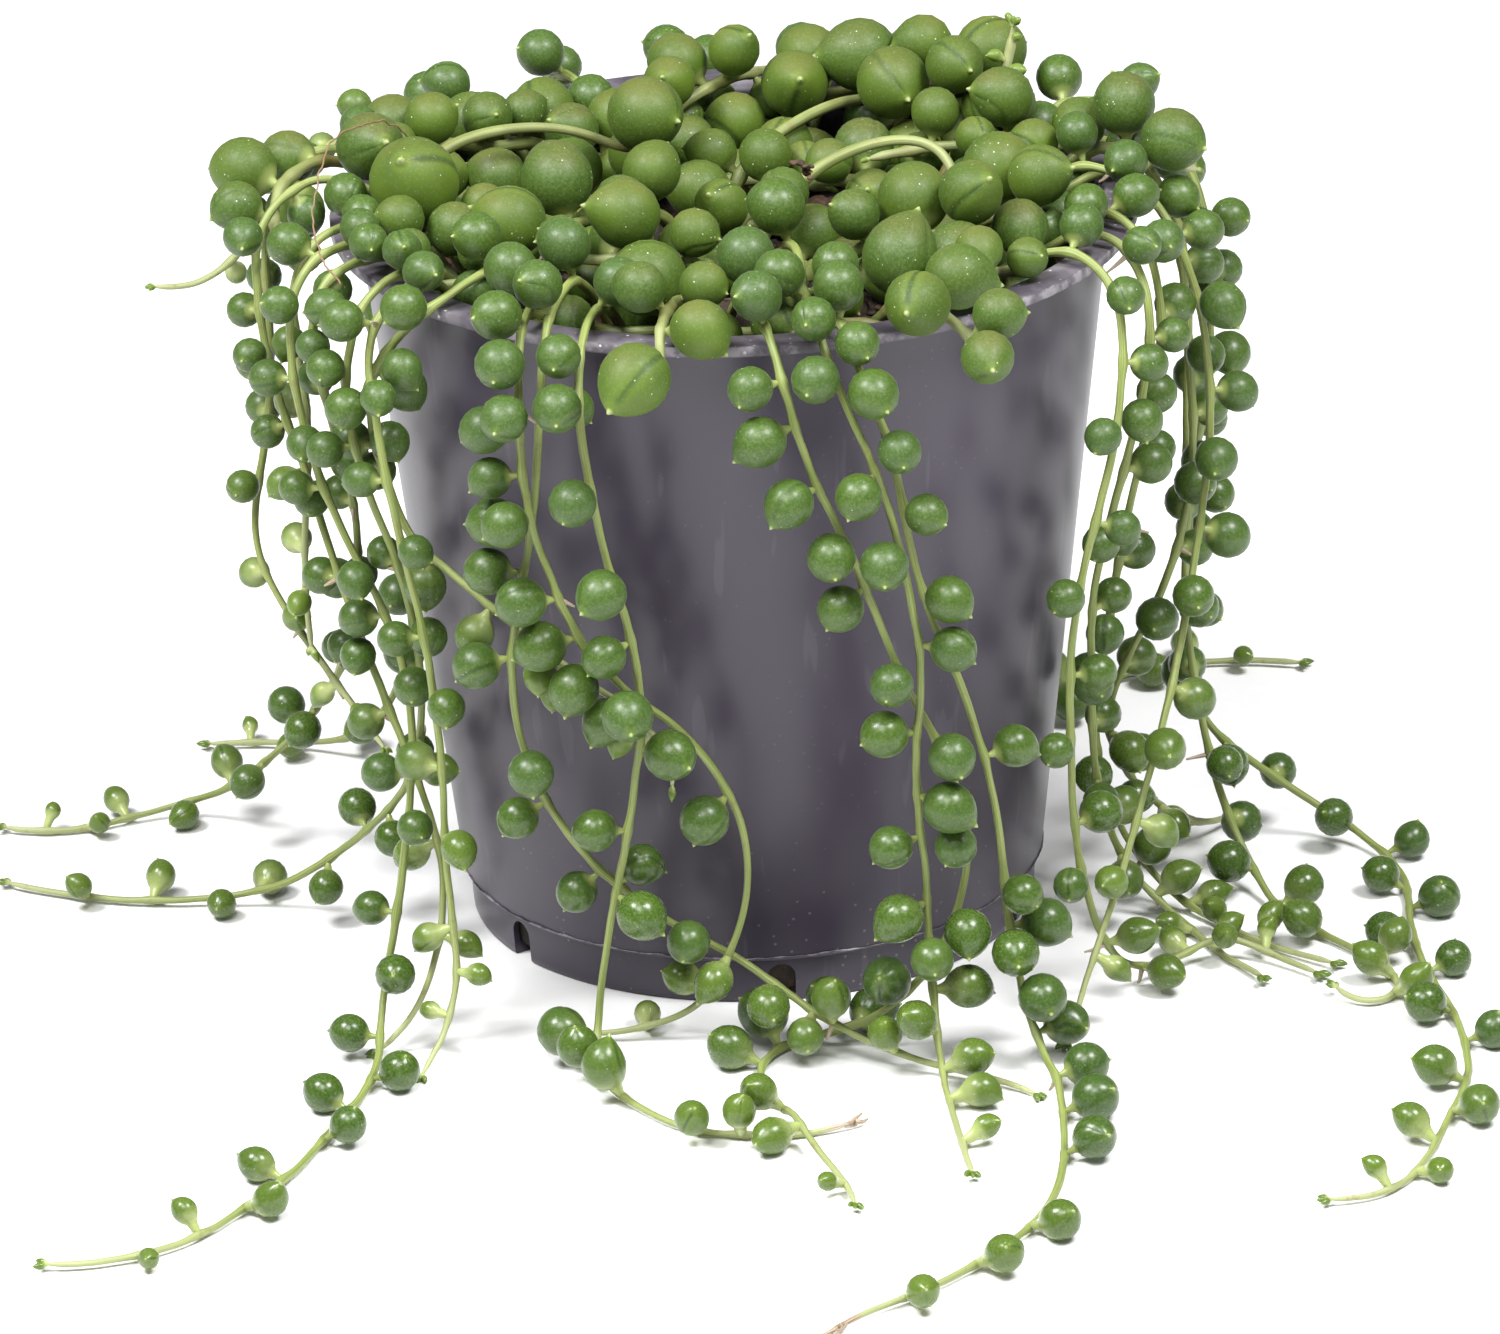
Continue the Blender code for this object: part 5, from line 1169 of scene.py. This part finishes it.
def chips(spots, sizes, rng):
    """Small lumpy flat bodies, one at each spot, as one body."""
    bm = bmesh.new()
    bmesh.ops.create_icosphere(bm, subdivisions=2, radius=1.0)
    ball = np.array([v.co for v in bm.verts])
    faces = [tuple(v.index for v in face.verts) for face in bm.faces]
    bm.free()
    bodies = []
    for number, (spot, size) in enumerate(zip(spots, sizes)):
        shape = ball * (1.0, rng.uniform(*CHIP_WIDTHS), rng.uniform(*CHIP_HEIGHTS))
        lumps = np.array([noise.noise(Vector(p) * 1.4 + Vector((number, 0, 0))) for p in ball])
        shape = shape * (1.0 + CHIP_LUMPS * lumps)[:, None]
        tilt = Matrix.Rotation(rng.normal(0.0, CHIP_TILT), 3, "X")
        tilt = tilt @ Matrix.Rotation(rng.uniform(0, 6.3), 3, "Z")
        tone = np.tile([rng.uniform(), 0.0, 0.0], (len(ball), 1))
        bodies.append((shape @ np.array(tilt) * size + spot, faces, {"tone": tone}))
    return joined(bodies)


def add_debris(paint, rng):
    """The brown remains of an old leaf, caught on a stem of the crown."""
    spots = [np.array(DEBRIS_PLACE) + rng.normal(0.0, DEBRIS_SPREAD, 3) for _ in range(DEBRIS_COUNT)]
    sizes = rng.uniform(*DEBRIS_SIZES, DEBRIS_COUNT)
    finish_piece(mesh_object("crown_debris", chips(spots, sizes, rng), paint), "crown_stem_13")


# --- Materials ---

class Paint:
    """A material under construction: a short way to add nodes, join them and lay colour over colour."""

    def __init__(self, name):
        self.material = bpy.data.materials.new(name)
        self.material.use_nodes = True
        self.tree = self.material.node_tree
        self.place = self.add("ShaderNodeTexCoord", output=3)
        self.colour = None

    def add(self, kind, inputs=None, output=0, **settings):
        node = self.tree.nodes.new(kind)
        for key, value in settings.items():
            setattr(node, key, value)
        for key, value in (inputs or {}).items():
            self.join(value, node.inputs[key])
        return node.outputs[output]

    def join(self, value, socket):
        if isinstance(value, bpy.types.NodeSocket):
            self.tree.links.new(value, socket)
        else:
            socket.default_value = value

    def attribute(self, name):
        return self.add("ShaderNodeAttribute", output=1, attribute_name=name)

    def split(self, vector):
        """A vector's three parts."""
        node = self.tree.nodes.new("ShaderNodeSeparateXYZ")
        self.join(vector, node.inputs[0])
        return tuple(node.outputs)

    def stretched(self, vector, factors):
        return self.add("ShaderNodeVectorMath", {0: vector, 1: factors}, operation="MULTIPLY")

    def math(self, operation, a, b=0.0, clamp=False):
        return self.add("ShaderNodeMath", {0: a, 1: b}, operation=operation, use_clamp=clamp)

    def times(self, product, *others):
        for other in others:
            product = self.math("MULTIPLY", product, other)
        return product

    def plus(self, base, value, factor):
        """The base and so many times the value."""
        return self.math("ADD", base, self.times(value, factor))

    def ramp(self, value, low, high, smooth=True):
        """0 below low and 1 above high, or the other way round where low is above high."""
        start, end = (0.0, 1.0) if low < high else (1.0, 0.0)
        ease = "SMOOTHSTEP" if smooth else "LINEAR"
        inputs = {"Value": value, 1: min(low, high), 2: max(low, high), 3: start, 4: end}
        return self.add("ShaderNodeMapRange", inputs, interpolation_type=ease)

    def noise(self, scale, detail=2.0, roughness=0.5, vector=None):
        inputs = {"Vector": vector or self.place, "Scale": scale, "Detail": detail, "Roughness": roughness}
        return self.add("ShaderNodeTexNoise", inputs)

    def dots(self, scale, edge, middle):
        """Small round dots, 0 outside the edge and 1 inside the middle."""
        distance = self.add("ShaderNodeTexVoronoi", {"Vector": self.place, "Scale": scale})
        return self.ramp(distance, edge, middle)

    def bump(self, height, distance, strength, below=None):
        inputs = {"Height": height, "Distance": distance, "Strength": strength}
        if below is not None:
            inputs["Normal"] = below
        return self.add("ShaderNodeBump", inputs)

    def mix(self, factor, a, b):
        return self.add("ShaderNodeMix", {0: factor, 6: a, 7: b}, output=2, data_type="RGBA")

    def lay(self, colour, *shares):
        """Lays a colour over the colour so far, by the product of the shares."""
        self.colour = self.mix(self.times(*shares), self.colour, colour)

    def finished(self, **inputs):
        """The material, with the colour so far and the shader's other inputs."""
        shader = self.tree.nodes["Principled BSDF"]
        for key, value in dict(inputs, Base_Color=self.colour).items():
            self.join(value, shader.inputs[key.replace("_", " ")])
        return self.material


def pearl_paint(name, coat, rough, sheen):
    """Fleshy skin: mottled green under a fine pale bloom, a dark window line, a pale point and neck, and
    painted shade low down.
    """
    p = Paint(name)
    x, y, z = p.split(p.attribute("place"))
    chance, youth, crown = p.split(p.attribute("tone"))
    height = p.split(p.place)[2]
    mottle = p.noise(2400.0, 3.0, 0.6)
    patches = p.noise(90.0)
    fleck = p.plus(p.times(mottle, 0.8), p.noise(420.0), 0.2)
    hanging = p.mix(p.ramp(fleck, 0.28, 0.7), GREEN_HANGING_DARK, GREEN_HANGING)
    sunny = p.mix(p.ramp(patches, 0.3, 0.75), GREEN_CROWN_DARK, GREEN_CROWN)
    sunny = p.mix(p.times(p.ramp(mottle, 0.4, 0.7), 0.4), sunny, GREEN_CROWN_DARK)
    sunny = p.mix(p.times(p.ramp(chance, 0.0, 0.8), 0.85), hanging, sunny)
    p.colour = p.mix(crown, p.mix(p.times(chance, 0.6), hanging, GREEN_BLUISH), sunny)
    p.lay(GREEN_YOUNG, youth, 0.7)
    # Painted shade: pearls lying low, near the surface, are darkened with the dark window colour.
    p.lay(WINDOW_AND_SHADE, p.ramp(height, PAINTED_SHADE_BELOW, 0.0), 0.25)
    # The tops of the crown's leaves are browned by the sun.
    upward = p.split(p.add("ShaderNodeNewGeometry", output=1))[2]
    p.lay(BLUSH, p.ramp(upward, 0.35, 0.95), p.ramp(patches, 0.25, 0.7), crown, 0.55)
    p.lay(BLOOM, p.ramp(mottle, 0.42, 0.72), 0.3)
    # The window: a narrow band from the point to the neck, on the side where the pearl's own x is positive.
    off = p.math("ABSOLUTE", y)
    window = p.times(p.ramp(off, 0.13, 0.0), p.ramp(x, 0.0, 0.4), p.ramp(z, -0.98, -0.6))
    strong = p.ramp(chance, 0.1, 1.0)
    p.lay(WINDOW_AND_SHADE, window, p.plus(0.2, strong, 0.4))
    p.lay(GREEN_YOUNG, p.ramp(off, 0.4, 0.2), p.ramp(off, 0.06, 0.16), p.ramp(x, 0.05, 0.3), strong, 0.16)
    p.lay(NECK, p.ramp(z, -0.8, -0.985), 0.85)
    p.lay(YOUNG_NECK, p.ramp(z, 0.1, -0.9), youth, 0.85)
    p.lay(GREEN_YOUNG, p.ramp(z, 0.95, 0.995), 0.3)
    p.lay(MUCRO_COLOUR, p.ramp(z, 0.995, 0.9995), 0.75)
    p.lay(PORES, p.dots(2000.0, 0.42, 0.15), 0.2)
    p.lay(DUST, p.dots(900.0, 0.14, 0.06), p.ramp(p.noise(350.0, 1.0), 0.5, 0.62), p.plus(0.3, crown, 0.3))
    rough = p.plus(rough, p.ramp(height, SHINY_BELOW, DULL_ABOVE, False), DULLER)
    rough = p.plus(p.plus(rough, chance, 0.08), p.ramp(mottle, 0.35, 0.75), 0.05)
    return p.finished(
        Roughness=rough, Normal=p.bump(p.plus(mottle, window, -0.8), 0.00005, 0.25), Specular_IOR_Level=0.38,
        Subsurface_Weight=0.12, Subsurface_Scale=0.0015, Subsurface_Radius=(0.5, 1.0, 0.2), Coat_Weight=coat,
        Coat_Roughness=0.2, Sheen_Weight=sheen, Sheen_Roughness=0.22, Sheen_Tint=(0.9, 1.0, 0.85, 1.0))


def stalk_paint():
    """Pale green stem, streaked along its length, creamy near the tip and brown in old stretches."""
    p = Paint("stalk_skin")
    _, near_tip, near_root = p.split(p.attribute("tone"))
    worn, crown, _ = p.split(p.attribute("worn"))
    streaks = p.noise(3.0, 3.0, 0.6, p.stretched(p.attribute("place"), (1.6, 1.6, 0.25)))
    pale = p.ramp(streaks, 0.35, 0.65)
    blotch = p.noise(60.0, 3.0, 0.6)
    p.colour = p.mix(pale, STALK_GREEN, STALK_PALE)
    p.lay(STALK_CREAM, p.math("POWER", near_tip, 1.8), 0.85)
    p.lay(STALK_OLIVE, crown, p.ramp(blotch, 0.3, 0.7))
    woody = p.math("ADD", p.ramp(near_root, 0.0, 0.7), p.times(crown, 0.4), clamp=True)
    p.lay(STALK_BROWN, p.ramp(blotch, 0.52, 0.68), woody, 0.8)
    p.lay(STALK_BROWN, p.ramp(p.noise(700.0), 0.6, 0.72), 0.35)
    p.lay(p.mix(p.times(pale, p.ramp(worn, 1.0, 0.6)), DRY_DARK, DRY_PALE), p.ramp(worn, 0.05, 0.5))
    return p.finished(Roughness=p.plus(0.38, streaks, 0.2), Normal=p.bump(streaks, 0.0001, 0.6),
                      Subsurface_Weight=0.1, Subsurface_Scale=0.001, Subsurface_Radius=(0.8, 1.0, 0.3))


def pot_paint():
    """Dark grey-purple moulded plastic: soft gloss, faint flow marks and scratches, dust on the rim."""
    p = Paint("pot_plastic")
    height = p.split(p.place)[2]
    drawn = p.stretched(p.place, (1.0, 1.0, 0.12))
    flow = p.noise(45.0, 3.0, 0.55, drawn)
    p.colour = p.mix(p.ramp(flow, 0.3, 0.7), POT_DARK, POT_LIGHT)
    p.lay(POT_SCRATCH, p.ramp(p.noise(260.0, vector=drawn), 0.655, 0.69), 0.06)
    rim = p.ramp(height, (RIM_TOP - 2.2) * MM, (RIM_TOP - 1.2) * MM)
    dusty = p.times(rim, p.ramp(p.noise(120.0, 4.0, 0.65), 0.35, 0.7))
    p.lay(POT_DUST, p.plus(p.times(rim, 0.12), dusty, 0.4))
    # The rim's outer edge is pale and ragged.
    flat = p.stretched(p.place, (1.0, 1.0, 0.0))
    out = p.add("ShaderNodeVectorMath", {0: flat}, output=1, operation="LENGTH")
    out = p.plus(out, p.noise(260.0, 3.0, 0.7), 0.8 * MM)
    p.lay(FLASH_PALE, p.ramp(out, (RIM_R + 0.2) * MM, (RIM_R + 0.4) * MM), rim, 0.5)
    near_edges = p.math("MAXIMUM", rim, p.times(p.ramp(height, 0.035, 0.004), 0.14))
    dots = p.times(p.dots(520.0, 0.16, 0.06), p.ramp(p.noise(60.0, 3.0), 0.44, 0.56))
    p.lay(DUST, p.math("MULTIPLY", dots, p.math("ADD", near_edges, 0.04), clamp=True), 0.75)
    rough = p.plus(p.plus(0.28, p.ramp(flow, 0.3, 0.75), 0.1), rim, 0.2)
    below_rim = p.math("SUBTRACT", 1.0, rim)
    waves = p.bump(p.times(p.noise(28.0, vector=drawn), below_rim), 0.0012, 0.26)
    return p.finished(Roughness=rough, Normal=p.bump(p.noise(1500.0, 2.0, 0.6), 0.00002, 0.25, waves))


def flash_paint():
    """The thin torn edge of plastic, paler where light comes through it."""
    p = Paint("pot_flash")
    rub = p.times(p.ramp(p.noise(170.0, 4.0, 0.7), 0.42, 0.68), 0.8)
    p.colour = p.mix(rub, POT_LIGHT, FLASH_PALE)
    return p.finished(Roughness=p.plus(0.35, rub, 0.25), Normal=p.bump(p.noise(900.0), 0.0001, 0.6))


def soil_paint():
    """Moist dark peat and bark."""
    p = Paint("potting_soil")
    lumps = p.noise(220.0, 5.0, 0.65)
    p.colour = p.mix(p.ramp(lumps, 0.4, 0.68), SOIL_DARK, SOIL_MID)
    p.lay(SOIL_FIBRE, p.ramp(p.noise(700.0), 0.62, 0.72))
    return p.finished(Roughness=p.plus(0.75, lumps, 0.2), Normal=p.bump(lumps, 0.0012, 0.9))


def crumb_paint():
    """Chips of bark, each of its own brown."""
    p = Paint("bark_crumbs")
    grain = p.noise(600.0, 3.0, 0.6)
    p.colour = p.mix(p.split(p.attribute("tone"))[0], SOIL_DARK, BARK)
    p.lay(SOIL_FIBRE, p.ramp(grain, 0.45, 0.7), 0.5)
    return p.finished(Roughness=p.plus(0.7, grain, 0.25), Normal=p.bump(grain, 0.0005, 0.8))


def floor_paint():
    """Matt white paper, with a hint of tooth."""
    p = Paint("studio_floor")
    tooth = p.noise(400.0, 3.0, 0.6)
    p.colour = p.mix(tooth, PAPER_GREY, PAPER_WHITE)
    return p.finished(Roughness=0.7, Normal=p.bump(tooth, 0.0001, 0.1))


# --- Stage ---

def add_floor():
    corners = [(FLOOR_HALF * x, FLOOR_HALF * y, 0.0) for x, y in ((-1, -1), (1, -1), (1, 1), (-1, 1))]
    mesh_object("floor", (corners, [(0, 1, 2, 3)], {}), floor_paint())


def add_light(name, direction, distance, size, power):
    """A square soft light that faces the plant."""
    light = bpy.data.lights.new(name, "AREA")
    light.size = size
    light.energy = power
    made = link(bpy.data.objects.new(name, light))
    made.location = Vector(direction).normalized() * distance + Vector(LIT_POINT)
    made.rotation_euler = (Vector(LIT_POINT) - made.location).to_track_quat("-Z", "Y").to_euler()


def add_world():
    world = bpy.data.worlds.new("studio")
    world.use_nodes = True
    background = world.node_tree.nodes["Background"]
    background.inputs[0].default_value = (1.0, 1.0, 1.0, 1.0)
    background.inputs[1].default_value = WORLD_LIGHT
    bpy.context.scene.world = world


def add_camera():
    """The camera stands in front of the pot and a little above it, a long way back."""
    data = bpy.data.cameras.new("camera")
    data.sensor_width = SENSOR_WIDTH
    data.lens = LENS
    data.clip_start = NEAR_CLIP
    camera = link(bpy.data.objects.new("camera", data))
    tilt = Matrix.Rotation(math.radians(90.0) - CAMERA_ELEVATION, 4, "X")
    back = Vector((0.0, -math.cos(CAMERA_ELEVATION), math.sin(CAMERA_ELEVATION)))
    place = Vector(CAMERA_TARGET) + back * CAMERA_DISTANCE
    camera.matrix_world = Matrix.Translation(place) @ Matrix.Rotation(CAMERA_ROLL, 4, back) @ tilt
    bpy.context.scene.camera = camera


def main():
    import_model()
    add_camera()
    add_world()
    for light in LIGHTS:
        add_light(*light)
    add_floor()
    rng = np.random.default_rng(LOOKS_SEED)
    add_pot(pot_paint())
    crumbs = crumb_paint()
    add_soil(soil_paint(), crumbs, rng)
    add_debris(crumbs, rng)
    hanging = pearl_paint("pearl_skin", 0.12, 0.22, 0.1)
    crown = pearl_paint("crown_pearl_skin", 0.03, 0.32, 0.04)
    stalk = stalk_paint()
    for stem in grow_plant():
        path, nodes = visible_path(stem)
        add_stalk(stem, path, nodes, stalk, rng)
        add_pearls(stem, path, nodes, crown if stem["crown"] else hanging, rng)
    add_thread(stalk)
    add_sprig(stalk, hanging, rng)
    bpy.context.scene.view_settings.view_transform = "Standard"


main()
